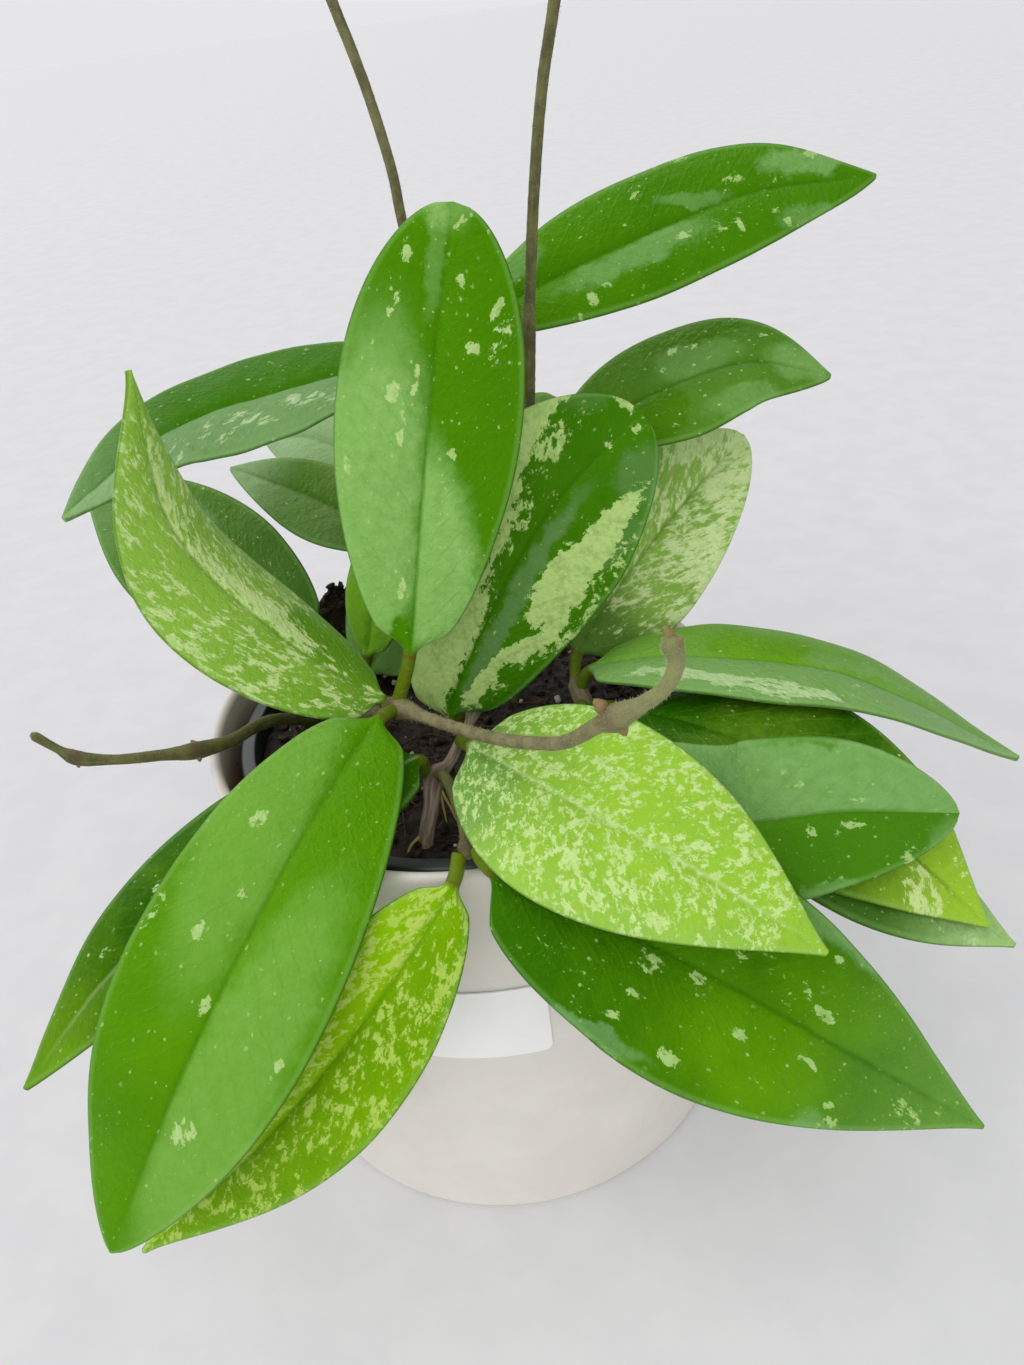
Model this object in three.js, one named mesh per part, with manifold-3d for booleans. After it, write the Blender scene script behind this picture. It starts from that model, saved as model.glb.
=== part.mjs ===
// A splash hoya in a dark nursery pot, which stands in a plain white cachepot.
// Millimetres, +Z up. The origin is the middle of the cachepot's foot, on the surface that it stands on.
// +X is to the right and +Y is away from someone who stands in front of the plant.
import * as THREE from "three";
import { mergeVertices } from "three/addons/utils/BufferGeometryUtils.js";
import Module from "manifold-3d";

const wasm = await Module();
wasm.setup();

// Clearance between two pieces that touch.
const gap = 0.3;

// Cachepot: a straight smooth cylinder with a rounded foot and rim.
const cachepotRadius = 62.5;
const cachepotHeight = 120;
const cachepotWall = 2.75;
const cachepotFloor = 3;
const cachepotFootRound = 2;
const cachepotSides = 56;

// Nursery pot: a tapered thin pot with a turned-out lip, set a little off centre.
const nurseryLipRadius = 57;
const nurseryTopRadius = 54.5;
const nurseryFootRadius = 46;
const nurseryWall = 1.4;
const nurseryFloor = 2;
const nurseryLipHeight = 4;
const nurseryTop = 115.5;
const nurseryOffset = [0.8, 1.2];
const nurserySides = 44;

// Potting mix: a crumbly top with a mound at the back left.
const soilTop = 110.5;
const soilRings = 11;
const soilSides = 40;
const crumbHeight = 1.5;
const mound = { x: -32, y: 37, height: 23, spread: 13 };
const soilSeed = 7;

// Blank paper label on the front of the cachepot.
const label = {
  width: 33,
  height: 22,
  thickness: 0.4,
  corner: 2,
  middleAngle: -94.8,
  middleHeight: 74.8,
  tilt: 2,
};
const labelSteps = 10;

// Leaf blades and stalks.
const stalkRadius = 1.5;
const ribThickness = 1.6;
const marginThickness = 0.8;
const bladeColumns = 7;
const stalkSteps = 3;
const bladeStations = [0, 0.03, 0.09, 0.18, 0.29, 0.41, 0.53, 0.65, 0.76, 0.86, 0.93, 0.975, 1];
const tipHalfWidth = 0.7;
const flareShare = 0.07;

// Stems: sides of the section, and the steps between two points of the path.
const stemSides = 8;
const stemSteps = 2;

// Each leaf has its stem, its colour, the start of its stalk inside that stem, the four points that its
// midrib passes through from the foot of the blade to its tip, its width, the way its upper face looks, and
// how it folds and cups. A positive fold lifts both halves into a V, and a negative cup lets the margins
// droop. Widest, foot and tip shape the outline. The stalk is cut off clear of the stem.
const leafShape = {
  turn: 0,
  fold: 0.12,
  cup: -0.1,
  wave: 0.5,
  waves: 1.5,
  widest: 0.45,
  foot: 0.62,
  tip: 0.9,
};
const leaves = [
  {
    name: "leaf_upright_centre",
    stem: "stem_long_shoot",
    colour: "#3f8410",
    stalk: [-13.6, -21.8, 134.8],
    rib: [[-9, -21, 147], [-2, -12, 177], [5, -2, 205], [12, 6, 230]],
    width: 38,
    face: [0.05, -0.9, 0.4],
    widest: 0.52,
    tip: 0.5,
  },
  {
    name: "leaf_small_bright",
    stem: "stem_back_left",
    colour: "#5fa01f",
    stalk: [-28, 12, 117.5],
    rib: [[-23, 11.5, 128], [-19, 13, 141], [-15, 16, 153], [-13, 20, 166]],
    width: 17,
    face: [-0.4, -0.9, 0.2],
  },
  {
    name: "leaf_behind_centre",
    stem: "stem_back_left",
    colour: "#3a5c34",
    stalk: [-28, 14, 115],
    rib: [[-25, 17, 118.5], [-12, 33, 131], [9, 49, 150], [33, 61, 170]],
    width: 34,
    face: [0.2, -0.85, 0.5],
    tip: 0.5,
  },
  {
    name: "leaf_cream_patched",
    stem: "stem_main",
    colour: "#45782c",
    stalk: [1, -9, 121],
    rib: [[-3, -13, 124], [9, -8, 147], [25, 1, 166], [48, 14, 181]],
    width: 44,
    face: [0.1, -0.85, 0.5],
    widest: 0.6,
    tip: 0.5,
  },
  {
    name: "leaf_back_streaked",
    stem: "stem_right",
    colour: "#5d7f4c",
    stalk: [27.3, -2.3, 121.8],
    rib: [[29, 6, 124], [42, 17, 136], [59, 30, 148], [79, 44, 160]],
    width: 37,
    face: [0.1, -0.85, 0.5],
    tip: 0.55,
  },
  {
    name: "leaf_upper_right",
    stem: "stem_tall_right",
    colour: "#3c7420",
    stalk: [24, 20.5, 169.3],
    rib: [[31, 25, 171], [54, 32, 178], [76, 32, 183], [96, 30, 178]],
    width: 30,
    face: [0, -0.6, 0.8],
  },
  {
    name: "leaf_top_right",
    stem: "stem_tall_left",
    colour: "#4c8a1f",
    stalk: [4.5, 28.6, 195.3],
    rib: [[14, 30, 200.5], [45, 34, 211], [82, 44, 218], [110, 50, 217]],
    width: 29,
    face: [0, -0.75, 0.65],
  },
  {
    name: "leaf_upper_left",
    stem: "stem_tall_left",
    colour: "#467d22",
    stalk: [1.5, 27.5, 195],
    rib: [[-5, 26, 195], [-29, 25, 192], [-57, 18, 188], [-77, -5, 180]],
    width: 32,
    face: [0, -0.33, 0.95],
  },
  {
    name: "leaf_left_long",
    stem: "stem_long_shoot",
    colour: "#659a25",
    stalk: [-15.5, -20.8, 134],
    rib: [[-17, -20.3, 135.2], [-37, -18, 154], [-54, -10, 176], [-57, 2, 207]],
    width: 38,
    face: [0.8, -0.25, 0.5],
    fold: -0.05,
    foot: 0.75,
    tip: 1.3,
  },
  {
    name: "leaf_left_broad",
    stem: "stem_back_left",
    colour: "#4f8a24",
    stalk: [-29.5, 14, 117.5],
    rib: [[-37, 17, 130], [-56, 30, 142], [-76.5, 45, 153.5], [-94, 57, 164]],
    width: 38,
    face: [0.1, -0.8, 0.6],
  },
  {
    name: "leaf_back_left",
    stem: "stem_tall_left",
    colour: "#58962f",
    stalk: [-6, 26, 150.5],
    rib: [[-12, 30, 150], [-25, 39, 154], [-40, 50, 158], [-56, 59, 162]],
    width: 22,
    face: [0, -0.7, 0.7],
  },
  {
    name: "leaf_back_pale",
    stem: "stem_tall_left",
    colour: "#7aa64c",
    stalk: [-4.5, 26, 152.5],
    rib: [[-6, 39, 159], [-21, 58, 161], [-37, 74, 162.5], [-51, 87, 158.5]],
    width: 25,
    face: [0, -0.7, 0.7],
  },
  {
    name: "leaf_right_arched",
    stem: "stem_right",
    colour: "#4e8425",
    stalk: [28.3, -4.3, 121.5],
    rib: [[31, -5, 126], [57, -14, 131.5], [88, -22, 126.5], [124, -32, 106]],
    width: 35,
    face: [0, 0.1, 1],
  },
  {
    name: "leaf_right_lime",
    stem: "stem_right",
    colour: "#6fa12a",
    stalk: [30.2, -5.8, 117],
    rib: [[38, -20, 124], [58, -39, 126.5], [82, -57, 114.5], [102, -70, 96]],
    width: 44,
    face: [0.2, -0.4, 0.9],
    turn: 28,
    tip: 1.1,
  },
  {
    name: "leaf_right_rounded",
    stem: "stem_right",
    colour: "#3c7a1c",
    stalk: [28, -8, 118.5],
    rib: [[30, -38, 126.5], [49, -61, 125.5], [72, -63.5, 126], [95, -63.5, 122]],
    width: 32,
    face: [0, -0.75, 0.65],
    tip: 0.6,
  },
  {
    name: "leaf_right_lowest",
    stem: "stem_right",
    colour: "#35682a",
    stalk: [29.5, -8, 114],
    rib: [[36, -33, 122], [61, -52, 117], [86, -63, 104.5], [109, -69, 88]],
    width: 27,
    face: [0.2, -0.4, 0.9],
    turn: 15,
    widest: 0.55,
    foot: 1.2,
    tip: 1.1,
  },
  {
    name: "leaf_front_speckled",
    stem: "stem_main",
    colour: "#77aa33",
    stalk: [-1, -24.5, 124.5],
    rib: [[2, -38, 133], [19, -62, 137], [40, -81, 133], [60, -93, 121.5]],
    width: 39,
    face: [0.1, -0.7, 0.7],
    widest: 0.38,
    tip: 1.1,
  },
  {
    name: "leaf_front_right",
    stem: "stem_main",
    colour: "#33691c",
    stalk: [1, -61.5, 126],
    rib: [[4, -66, 124], [31, -80, 115], [60, -91, 97], [92, -98, 72]],
    width: 44,
    face: [0.2, -0.8, 0.6],
    tip: 1.1,
  },
  {
    name: "leaf_front_trailing",
    stem: "stem_main",
    colour: "#84ae3c",
    stalk: [-2.2, -61.5, 125.2],
    rib: [[-4, -66, 122], [-21, -79, 106], [-46, -90, 84], [-76, -95, 59]],
    width: 31,
    face: [-0.1, -0.8, 0.6],
    widest: 0.5,
    foot: 0.75,
    tip: 1.2,
  },
  {
    name: "leaf_front_left",
    stem: "stem_long_shoot",
    colour: "#4b9109",
    stalk: [-14.2, -23.6, 134.6],
    rib: [[-17, -30, 137], [-34, -58.5, 128.5], [-55, -87, 107], [-75, -104, 76]],
    width: 42,
    face: [-0.1, -0.7, 0.7],
    widest: 0.54,
    tip: 0.75,
  },
  {
    name: "leaf_low_left",
    stem: "stem_main",
    colour: "#6a9c33",
    stalk: [-9.3, -32.5, 123.5],
    rib: [[-10, -35.5, 129], [-38, -52, 127], [-70, -61, 110], [-100, -70, 82]],
    width: 30,
    face: [-0.2, -0.5, 0.85],
    tip: 1,
  },
];

// Each stem is one piece grown from one or more shoots. A shoot is a list of points with the stem's radius
// there, so that a thicker point is a node. Each starts 12 mm down in the potting mix, or inside another
// shoot.
const stems = [
  {
    name: "stem_main",
    shoots: [
      [
        [-11, -41, 98, 1.8], [-11, -41, 110, 1.8], [-8.8, -37, 117, 1.7], [-7, -33, 122, 2.5],
        [-4, -30, 123, 1.3], [-1, -24, 124.5, 1.2], [1, -17, 123.5, 1.2], [2.2, -8.5, 121.5, 2],
        [2.8, -6.5, 122.3, 0.9],
      ],
      [
        [-7, -33, 122, 1.1], [-5, -37, 125.5, 1.2], [-3.5, -42, 126.5, 1.2], [-1.5, -51, 126.5, 1.2],
        [-0.5, -58, 126.5, 1.3], [-0.5, -61, 126, 2.1], [-0.5, -63, 125.5, 0.9],
      ],
    ],
  },
  {
    name: "stem_long_shoot",
    shoots: [
      [
        [-31, -3, 98, 1.4], [-31, -4, 110, 1.4], [-28, -10, 122, 1.4], [-24, -14.5, 127.5, 1.3],
        [-19.5, -17.5, 130.5, 1.3], [-14, -22, 134, 2.6], [-7, -30, 136, 1.35], [1, -40, 139, 1.3],
        [8, -51, 144, 1.3], [14, -60, 149, 1.25], [20, -70, 156, 1.25], [25, -77, 164, 1.4],
        [27.5, -79, 166.5, 2.3], [32, -82, 171, 1.3], [35, -84, 175, 1.2], [36.5, -84, 179, 1.3],
        [36, -83.5, 182, 1.7], [35.5, -83, 183.5, 0.8],
      ],
    ],
  },
  {
    name: "stem_left_shoot",
    shoots: [
      [
        [-38, 13, 100, 1.5], [-40, 10, 110, 1.5], [-45, 0, 119.5, 1.5], [-49, -7, 123.5, 1.5],
        [-54, -14, 125, 1.45], [-61, -18.5, 126.5, 2], [-69, -20, 127.5, 1.3], [-78, -21, 128.5, 1.15],
        [-87, -20.5, 130, 1.7], [-91, -19, 132, 0.95], [-95.5, -17, 134.5, 1.1], [-96.5, -16.5, 135, 0.6],
      ],
    ],
  },
  {
    name: "stem_tall_left",
    shoots: [
      [
        [-4, 2, 98, 1.3], [-4, 3, 110, 1.3], [-4, 11, 126, 1.3], [-5, 25, 151, 2], [-1, 26, 174, 1.2],
        [3, 28, 195, 2], [2, 29, 210, 1.1], [0.5, 30, 225, 1.1], [0, 31, 233, 1.1], [-3, 34, 249, 1.1],
        [-7, 36, 264, 1.1], [-12, 39, 282, 1.7], [-16, 41, 295, 1], [-18, 42, 301, 1.5],
        [-19, 42.5, 304, 0.6],
      ],
    ],
  },
  {
    name: "stem_tall_right",
    shoots: [
      [
        [12, 8, 98, 1.3], [12, 9, 110, 1.3], [17, 14, 125, 1.3], [21, 18, 145, 1.3], [22.6, 20, 169, 2],
        [23.4, 20, 180, 1.2], [24.5, 18, 199, 1.7], [25.7, 17, 208.6, 1.2], [28, 14, 228, 1.15],
        [31, 11, 247, 1.1], [34, 8, 260, 1.1], [37.5, 4, 277, 1.7], [40, 1, 289, 1], [41.5, -0.5, 296, 1.5],
        [42, -1, 299, 0.6],
      ],
    ],
  },
  {
    name: "stem_right",
    shoots: [
      [[30, -6, 98, 1.6], [30, -6, 110, 1.6], [29, -7, 117, 2.4], [27.5, -3.5, 121, 2.2], [27, -2, 123, 1]],
    ],
  },
  {
    name: "stem_back_left",
    shoots: [[[-29, 13, 98, 1.5], [-29, 13, 110, 1.5], [-29, 13, 117, 2.3], [-29, 13, 119, 1]]],
  },
];

// A repeatable random number from 0 to 1.
function seededRandom(seed) {
  let state = seed;
  return () => {
    state = (state * 16807) % 2147483647;
    return state / 2147483647;
  };
}

// A manifold solid from a closed geometry.
function solidFrom(geometry) {
  const bare = geometry.clone();
  bare.deleteAttribute("normal");
  bare.deleteAttribute("uv");
  const merged = mergeVertices(bare, 1e-4);
  return new wasm.Manifold(
    new wasm.Mesh({
      numProp: 3,
      vertProperties: merged.attributes.position.array,
      triVerts: new Uint32Array(merged.index.array),
    }),
  );
}

// A geometry from a manifold solid.
function geometryFrom(solid) {
  const { numProp, vertProperties, triVerts } = solid.getMesh();
  const points = [];
  for (let i = 0; i < vertProperties.length; i += numProp) {
    points.push(vertProperties[i], vertProperties[i + 1], vertProperties[i + 2]);
  }
  const geometry = new THREE.BufferGeometry();
  geometry.setAttribute("position", new THREE.Float32BufferAttribute(points, 3));
  geometry.setIndex([...triVerts]);
  geometry.computeVertexNormals();
  return geometry;
}

function namedMesh(name, geometry, material) {
  const mesh = new THREE.Mesh(geometry, material);
  mesh.name = name;
  return mesh;
}

// A closed skin over rings of equal length. From ring point mirrorFrom on, the faces are split along the other
// diagonal, so that the two faces of a thin blade are split alike.
function skinOver(rings, mirrorFrom = Infinity) {
  const count = rings[0].length;
  const positions = rings.flat().flatMap((p) => [p.x, p.y, p.z]);
  const index = [];
  for (let i = 0; i + 1 < rings.length; i++) {
    for (let j = 0; j < count; j++) {
      const a = i * count + j;
      const b = i * count + ((j + 1) % count);
      const c = b + count;
      const d = a + count;
      if (j < mirrorFrom) {
        index.push(a, b, c, a, c, d);
      } else {
        index.push(a, b, d, b, c, d);
      }
    }
  }
  const last = (rings.length - 1) * count;
  for (let j = 1; j + 1 < count; j++) {
    index.push(0, j + 1, j, last, last + j, last + j + 1);
  }
  const geometry = new THREE.BufferGeometry();
  geometry.setAttribute("position", new THREE.Float32BufferAttribute(positions, 3));
  geometry.setIndex(index);
  return geometry;
}

// A round profile turned about Z, from [radius, height] pairs.
function turned(profile, sides) {
  const points = profile.map(([radius, height]) => new THREE.Vector2(radius, height));
  return new THREE.LatheGeometry(points, sides).rotateX(Math.PI / 2);
}

function vectorOf([x, y, z]) {
  return new THREE.Vector3(x, y, z);
}

function smoothStep(t) {
  return t * t * (3 - 2 * t);
}

// White cachepot: one turned shell with a closed floor.
function makeCachepot() {
  const inner = cachepotRadius - cachepotWall;
  const round = cachepotFootRound;
  const lip = cachepotWall / 2;
  const profile = [
    [0, 0],
    [cachepotRadius - round, 0],
    [cachepotRadius - round * 0.3, round * 0.3],
    [cachepotRadius, round],
    [cachepotRadius, cachepotHeight - lip],
    [cachepotRadius - lip * 0.4, cachepotHeight - lip * 0.3],
    [cachepotRadius - lip, cachepotHeight],
    [inner + lip * 0.4, cachepotHeight - lip * 0.3],
    [inner, cachepotHeight - lip],
    [inner, cachepotFloor],
    [0, cachepotFloor],
  ];
  return turned(profile, cachepotSides);
}

const nurseryFoot = cachepotFloor + gap;

// The nursery pot's inner radius at a height.
function nurseryInnerRadius(height) {
  const share = (height - nurseryFoot) / (nurseryTop - nurseryFoot);
  return nurseryFootRadius + (nurseryTopRadius - nurseryFootRadius) * share - nurseryWall;
}

// Dark nursery pot: a tapered shell with a turned-out lip.
function makeNurseryPot() {
  const lipFoot = nurseryTop - nurseryLipHeight;
  const outerBelowLip = nurseryInnerRadius(lipFoot) + nurseryWall;
  const floorTop = nurseryFoot + nurseryFloor;
  const profile = [
    [0, nurseryFoot],
    [nurseryFootRadius, nurseryFoot],
    [outerBelowLip, lipFoot],
    [nurseryLipRadius, lipFoot],
    [nurseryLipRadius, nurseryTop - 0.6],
    [nurseryLipRadius - 0.6, nurseryTop],
    [nurseryInnerRadius(nurseryTop), nurseryTop],
    [nurseryInnerRadius(floorTop), floorTop],
    [0, floorTop],
  ];
  return turned(profile, nurserySides).translate(nurseryOffset[0], nurseryOffset[1], 0);
}

// Height of the potting mix at a place, before its crumbs are added.
function soilHeight(x, y) {
  const away = ((x - mound.x) ** 2 + (y - mound.y) ** 2) / mound.spread ** 2;
  return soilTop + mound.height * Math.exp(-away);
}

// Potting mix: its side follows the nursery pot, and its top is raised in seeded crumbs.
function makeSoil() {
  const random = seededRandom(soilSeed);
  const bottom = nurseryFoot + nurseryFloor + gap;
  const rimHeight = soilTop - 1;
  const rings = [];
  const addRing = (radius, height) => {
    const ring = [];
    for (let j = 0; j < soilSides; j++) {
      const angle = (2 * Math.PI * j) / soilSides;
      const x = nurseryOffset[0] + radius * Math.cos(angle);
      const y = nurseryOffset[1] + radius * Math.sin(angle);
      ring.push(new THREE.Vector3(x, y, height(x, y)));
    }
    rings.push(ring);
  };
  addRing(nurseryInnerRadius(bottom) - gap, () => bottom);
  const edgeRadius = nurseryInnerRadius(rimHeight) - gap;
  addRing(edgeRadius, () => rimHeight - 1);
  for (let i = 0; i < soilRings; i++) {
    const radius = edgeRadius * (1 - (i + 0.3) / soilRings);
    addRing(radius, (x, y) => soilHeight(x, y) + crumbHeight * (random() * 2 - 1));
  }
  return skinOver(rings);
}

// A shoot as a closed skin: round sections along its path, widened by extra all round and at both ends.
function shootGeometry(points, extra = 0) {
  const path = new THREE.CatmullRomCurve3(points.map(vectorOf), false, "centripetal");
  const steps = (points.length - 1) * stemSteps;
  const rings = [];
  const up = new THREE.Vector3(0.31, 0.95, 0.05).normalize();
  for (let i = 0; i <= steps; i++) {
    const t = i / steps;
    const from = Math.min(Math.floor(t * (points.length - 1)), points.length - 2);
    const within = smoothStep(t * (points.length - 1) - from);
    const radius = points[from][3] + (points[from + 1][3] - points[from][3]) * within + extra;
    const tangent = path.getTangent(t);
    const side = new THREE.Vector3().crossVectors(tangent, up).normalize();
    up.crossVectors(side, tangent).normalize();
    const atEnd = i === 0 ? -extra : i === steps ? extra : 0;
    const middle = path.getPoint(t).addScaledVector(tangent, atEnd);
    const ring = [];
    for (let j = 0; j < stemSides; j++) {
      const angle = (2 * Math.PI * j) / stemSides;
      const point = middle.clone().addScaledVector(side, radius * Math.cos(angle));
      ring.push(point.addScaledVector(up, -radius * Math.sin(angle)));
    }
    rings.push(ring);
  }
  return skinOver(rings);
}

// A whole stem: its shoots joined in one solid.
function stemSolid(stem, extra = 0) {
  const [first, ...others] = stem.shoots.map((points) => solidFrom(shootGeometry(points, extra)));
  return others.reduce((joined, shoot) => joined.add(shoot), first);
}

// Half the blade's width at share s from its foot to its tip.
function bladeHalfWidth(leaf, s) {
  const outline =
    s < leaf.widest
      ? Math.sin((Math.PI / 2) * (s / leaf.widest)) ** leaf.foot
      : Math.cos((Math.PI / 2) * ((s - leaf.widest) / (1 - leaf.widest))) ** leaf.tip;
  const least = stalkRadius + (tipHalfWidth - stalkRadius) * s;
  return least + (leaf.width / 2 - least) * outline;
}

// One section of a leaf: a ring of points that goes over its upper face and back under it. Flatness 0 is the
// round stalk and flatness 1 is the blade.
function leafSection(leaf, middle, tangent, s, flatness) {
  const twist = THREE.MathUtils.degToRad(leaf.turn * (s - 0.5));
  const side = new THREE.Vector3().crossVectors(tangent, vectorOf(leaf.face)).normalize();
  side.applyAxisAngle(tangent, twist);
  const normal = new THREE.Vector3().crossVectors(side, tangent).normalize();
  const half = bladeHalfWidth(leaf, s);
  const ripple = leaf.wave * Math.sin(2 * Math.PI * leaf.waves * s) * Math.sin(Math.PI * s);
  const ring = [];
  for (let k = 0; k < 2 * bladeColumns; k++) {
    const upper = k < bladeColumns;
    const column = upper ? k : 2 * bladeColumns - 1 - k;
    const across = (2 * column) / (bladeColumns - 1) - 1;
    const thick = marginThickness + (ribThickness - marginThickness) * (1 - across * across);
    const square = across * across;
    const rise = half * (leaf.fold * Math.abs(across) + leaf.cup * square) + ripple * square;
    const bladeUp = rise + (upper ? thick : -thick) / 2;
    const angle = Math.PI * (1 - (k + 0.5) / bladeColumns);
    const sideways = THREE.MathUtils.lerp(stalkRadius * Math.cos(angle), half * across, flatness);
    const upwards = THREE.MathUtils.lerp(stalkRadius * Math.sin(angle), bladeUp, flatness);
    ring.push(middle.clone().addScaledVector(side, sideways).addScaledVector(normal, upwards));
  }
  return ring;
}

// A leaf: a round stalk that flattens into a thin blade.
function leafGeometry(leaf) {
  const points = [leaf.stalk, ...leaf.rib].map(vectorOf);
  const path = new THREE.CatmullRomCurve3(points, false, "centripetal");
  const footShare = 1 / (points.length - 1);
  const rings = [];
  for (let i = 0; i < stalkSteps; i++) {
    const t = (footShare * i) / stalkSteps;
    rings.push(leafSection(leaf, path.getPoint(t), path.getTangent(t), 0, 0));
  }
  for (const s of bladeStations) {
    const t = footShare + (1 - footShare) * s;
    const flatness = smoothStep(Math.min(1, s / flareShare));
    rings.push(leafSection(leaf, path.getPoint(t), path.getTangent(t), s, flatness));
  }
  return skinOver(rings, bladeColumns);
}

// A leaf as a solid, with its stalk cut off clear of its stem.
function leafSolid(leaf) {
  const stem = stems.find(({ name }) => name === leaf.stem);
  return solidFrom(leafGeometry({ ...leafShape, ...leaf })).subtract(stemSolid(stem, gap));
}

// Blank label: a thin rounded patch that follows the cachepot's wall.
function makeLabel() {
  const inner = cachepotRadius + gap / 2;
  const outer = inner + label.thickness;
  const middle = THREE.MathUtils.degToRad(label.middleAngle);
  const tilt = Math.tan(THREE.MathUtils.degToRad(label.tilt));
  const rings = [];
  for (let i = 0; i <= labelSteps; i++) {
    const share = (2 * i) / labelSteps - 1;
    const along = (share * label.width) / 2;
    const fromEnd = label.width / 2 - Math.abs(along);
    const intoCorner = Math.max(0, label.corner - fromEnd);
    const cut = label.corner - Math.sqrt(Math.max(0, label.corner ** 2 - intoCorner ** 2));
    const half = label.height / 2 - cut;
    const angle = middle + along / cachepotRadius;
    const level = label.middleHeight - along * tilt;
    const corners = [[inner, half], [outer, half], [outer, -half], [inner, -half]];
    rings.push(
      corners.map(([radius, up]) => {
        return new THREE.Vector3(radius * Math.cos(angle), radius * Math.sin(angle), level + up);
      }),
    );
  }
  return skinOver(rings);
}

const whitePlastic = new THREE.MeshStandardMaterial({ color: "#e1ded7", roughness: 0.5, metalness: 0 });
const darkPlastic = new THREE.MeshStandardMaterial({ color: "#1d2622", roughness: 0.55, metalness: 0 });
const pottingMix = new THREE.MeshStandardMaterial({ color: "#2a1d15", roughness: 0.95, metalness: 0 });
const paper = new THREE.MeshStandardMaterial({ color: "#f4f4f6", roughness: 0.7, metalness: 0 });
const bark = new THREE.MeshStandardMaterial({ color: "#6a5f41", roughness: 0.7, metalness: 0 });

const hoya = new THREE.Group();

hoya.add(namedMesh("cachepot", makeCachepot(), whitePlastic));
hoya.add(namedMesh("nursery_pot", makeNurseryPot(), darkPlastic));
hoya.add(namedMesh("blank_label", makeLabel(), paper));

let soil = solidFrom(makeSoil());
for (const stem of stems) {
  hoya.add(namedMesh(stem.name, geometryFrom(stemSolid(stem)), bark));
  soil = soil.subtract(stemSolid(stem, gap));
}
hoya.add(namedMesh("potting_mix", geometryFrom(soil), pottingMix));

for (const leaf of leaves) {
  const leafSkin = new THREE.MeshStandardMaterial({ color: leaf.colour, roughness: 0.35, metalness: 0 });
  hoya.add(namedMesh(leaf.name, geometryFrom(leafSolid(leaf)), leafSkin));
}

export default hoya;
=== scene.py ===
import math

import bpy
import numpy as np
from mathutils import Matrix, Vector, noise


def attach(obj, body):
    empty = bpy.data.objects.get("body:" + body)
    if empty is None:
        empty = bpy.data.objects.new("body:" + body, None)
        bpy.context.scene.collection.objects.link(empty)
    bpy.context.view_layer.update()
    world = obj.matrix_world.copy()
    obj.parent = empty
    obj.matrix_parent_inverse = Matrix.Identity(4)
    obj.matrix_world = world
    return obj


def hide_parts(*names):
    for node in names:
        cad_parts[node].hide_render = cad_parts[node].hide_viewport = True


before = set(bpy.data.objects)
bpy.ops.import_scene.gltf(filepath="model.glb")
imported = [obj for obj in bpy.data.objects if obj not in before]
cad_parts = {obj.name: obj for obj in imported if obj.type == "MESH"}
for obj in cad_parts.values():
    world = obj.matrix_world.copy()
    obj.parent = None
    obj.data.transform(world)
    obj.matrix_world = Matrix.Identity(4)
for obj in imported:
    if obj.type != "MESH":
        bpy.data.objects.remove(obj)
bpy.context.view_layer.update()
metre = 0.001  # one millimetre
print("frame loaded:", len(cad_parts), "nodes")


# Shader nodes: small helpers


def wire(tree, socket, value):  # a plain value, or another node's output
    if isinstance(value, bpy.types.NodeSocket):
        tree.links.new(value, socket)
    else:
        socket.default_value = value


def calc(tree, operation, *values, clamp=False):
    node = tree.nodes.new("ShaderNodeMath")
    node.operation = operation
    node.use_clamp = clamp
    for socket, value in zip(node.inputs, values):
        wire(tree, socket, value)
    return node.outputs[0]


def plus(tree, *values, clamp=False):
    return calc(tree, "ADD", *values, clamp=clamp)


def minus(tree, *values):
    return calc(tree, "SUBTRACT", *values)


def times(tree, *values, clamp=False):
    return calc(tree, "MULTIPLY", *values, clamp=clamp)


def spread(tree, value, low, high, toLow=0.0, toHigh=1.0, smooth=True):  # a value's range moved to another
    node = tree.nodes.new("ShaderNodeMapRange")
    node.interpolation_type = "SMOOTHSTEP" if smooth else "LINEAR"
    labels = ("Value", "From Min", "From Max", "To Min", "To Max")
    for label, item in zip(labels, (value, low, high, toLow, toHigh)):
        wire(tree, node.inputs[label], item)
    return node.outputs[0]


def blendColour(tree, amount, first, second):
    node = tree.nodes.new("ShaderNodeMix")
    node.data_type = "RGBA"
    wire(tree, node.inputs[0], amount)
    wire(tree, node.inputs[6], first)
    wire(tree, node.inputs[7], second)
    return node.outputs[2]


def joined(tree, x, y, z):
    node = tree.nodes.new("ShaderNodeCombineXYZ")
    for socket, value in zip(node.inputs, (x, y, z)):
        wire(tree, socket, value)
    return node.outputs[0]


def parted(tree, vector):
    node = tree.nodes.new("ShaderNodeSeparateXYZ")
    wire(tree, node.inputs[0], vector)
    return node.outputs


def grain(tree, vector, scale, detail=3.0, rough=0.55, distortion=0.0):
    node = tree.nodes.new("ShaderNodeTexNoise")
    wire(tree, node.inputs["Vector"], vector)
    settings = {"Scale": scale, "Detail": detail, "Roughness": rough, "Distortion": distortion}
    for label, value in settings.items():
        wire(tree, node.inputs[label], value)
    return node.outputs[0]


def cells(tree, vector, scale, flat=False):
    node = tree.nodes.new("ShaderNodeTexVoronoi")
    node.voronoi_dimensions = "2D" if flat else "3D"
    wire(tree, node.inputs["Vector"], vector)
    wire(tree, node.inputs["Scale"], scale)
    return node.outputs["Distance"], node.outputs["Color"]


def inMillimetres(tree):  # the place on a piece
    scaled = tree.nodes.new("ShaderNodeVectorMath")
    scaled.operation = "SCALE"
    wire(tree, scaled.inputs[0], tree.nodes.new("ShaderNodeTexCoord").outputs["Object"])
    scaled.inputs["Scale"].default_value = 1 / metre
    return scaled.outputs[0]


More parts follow.
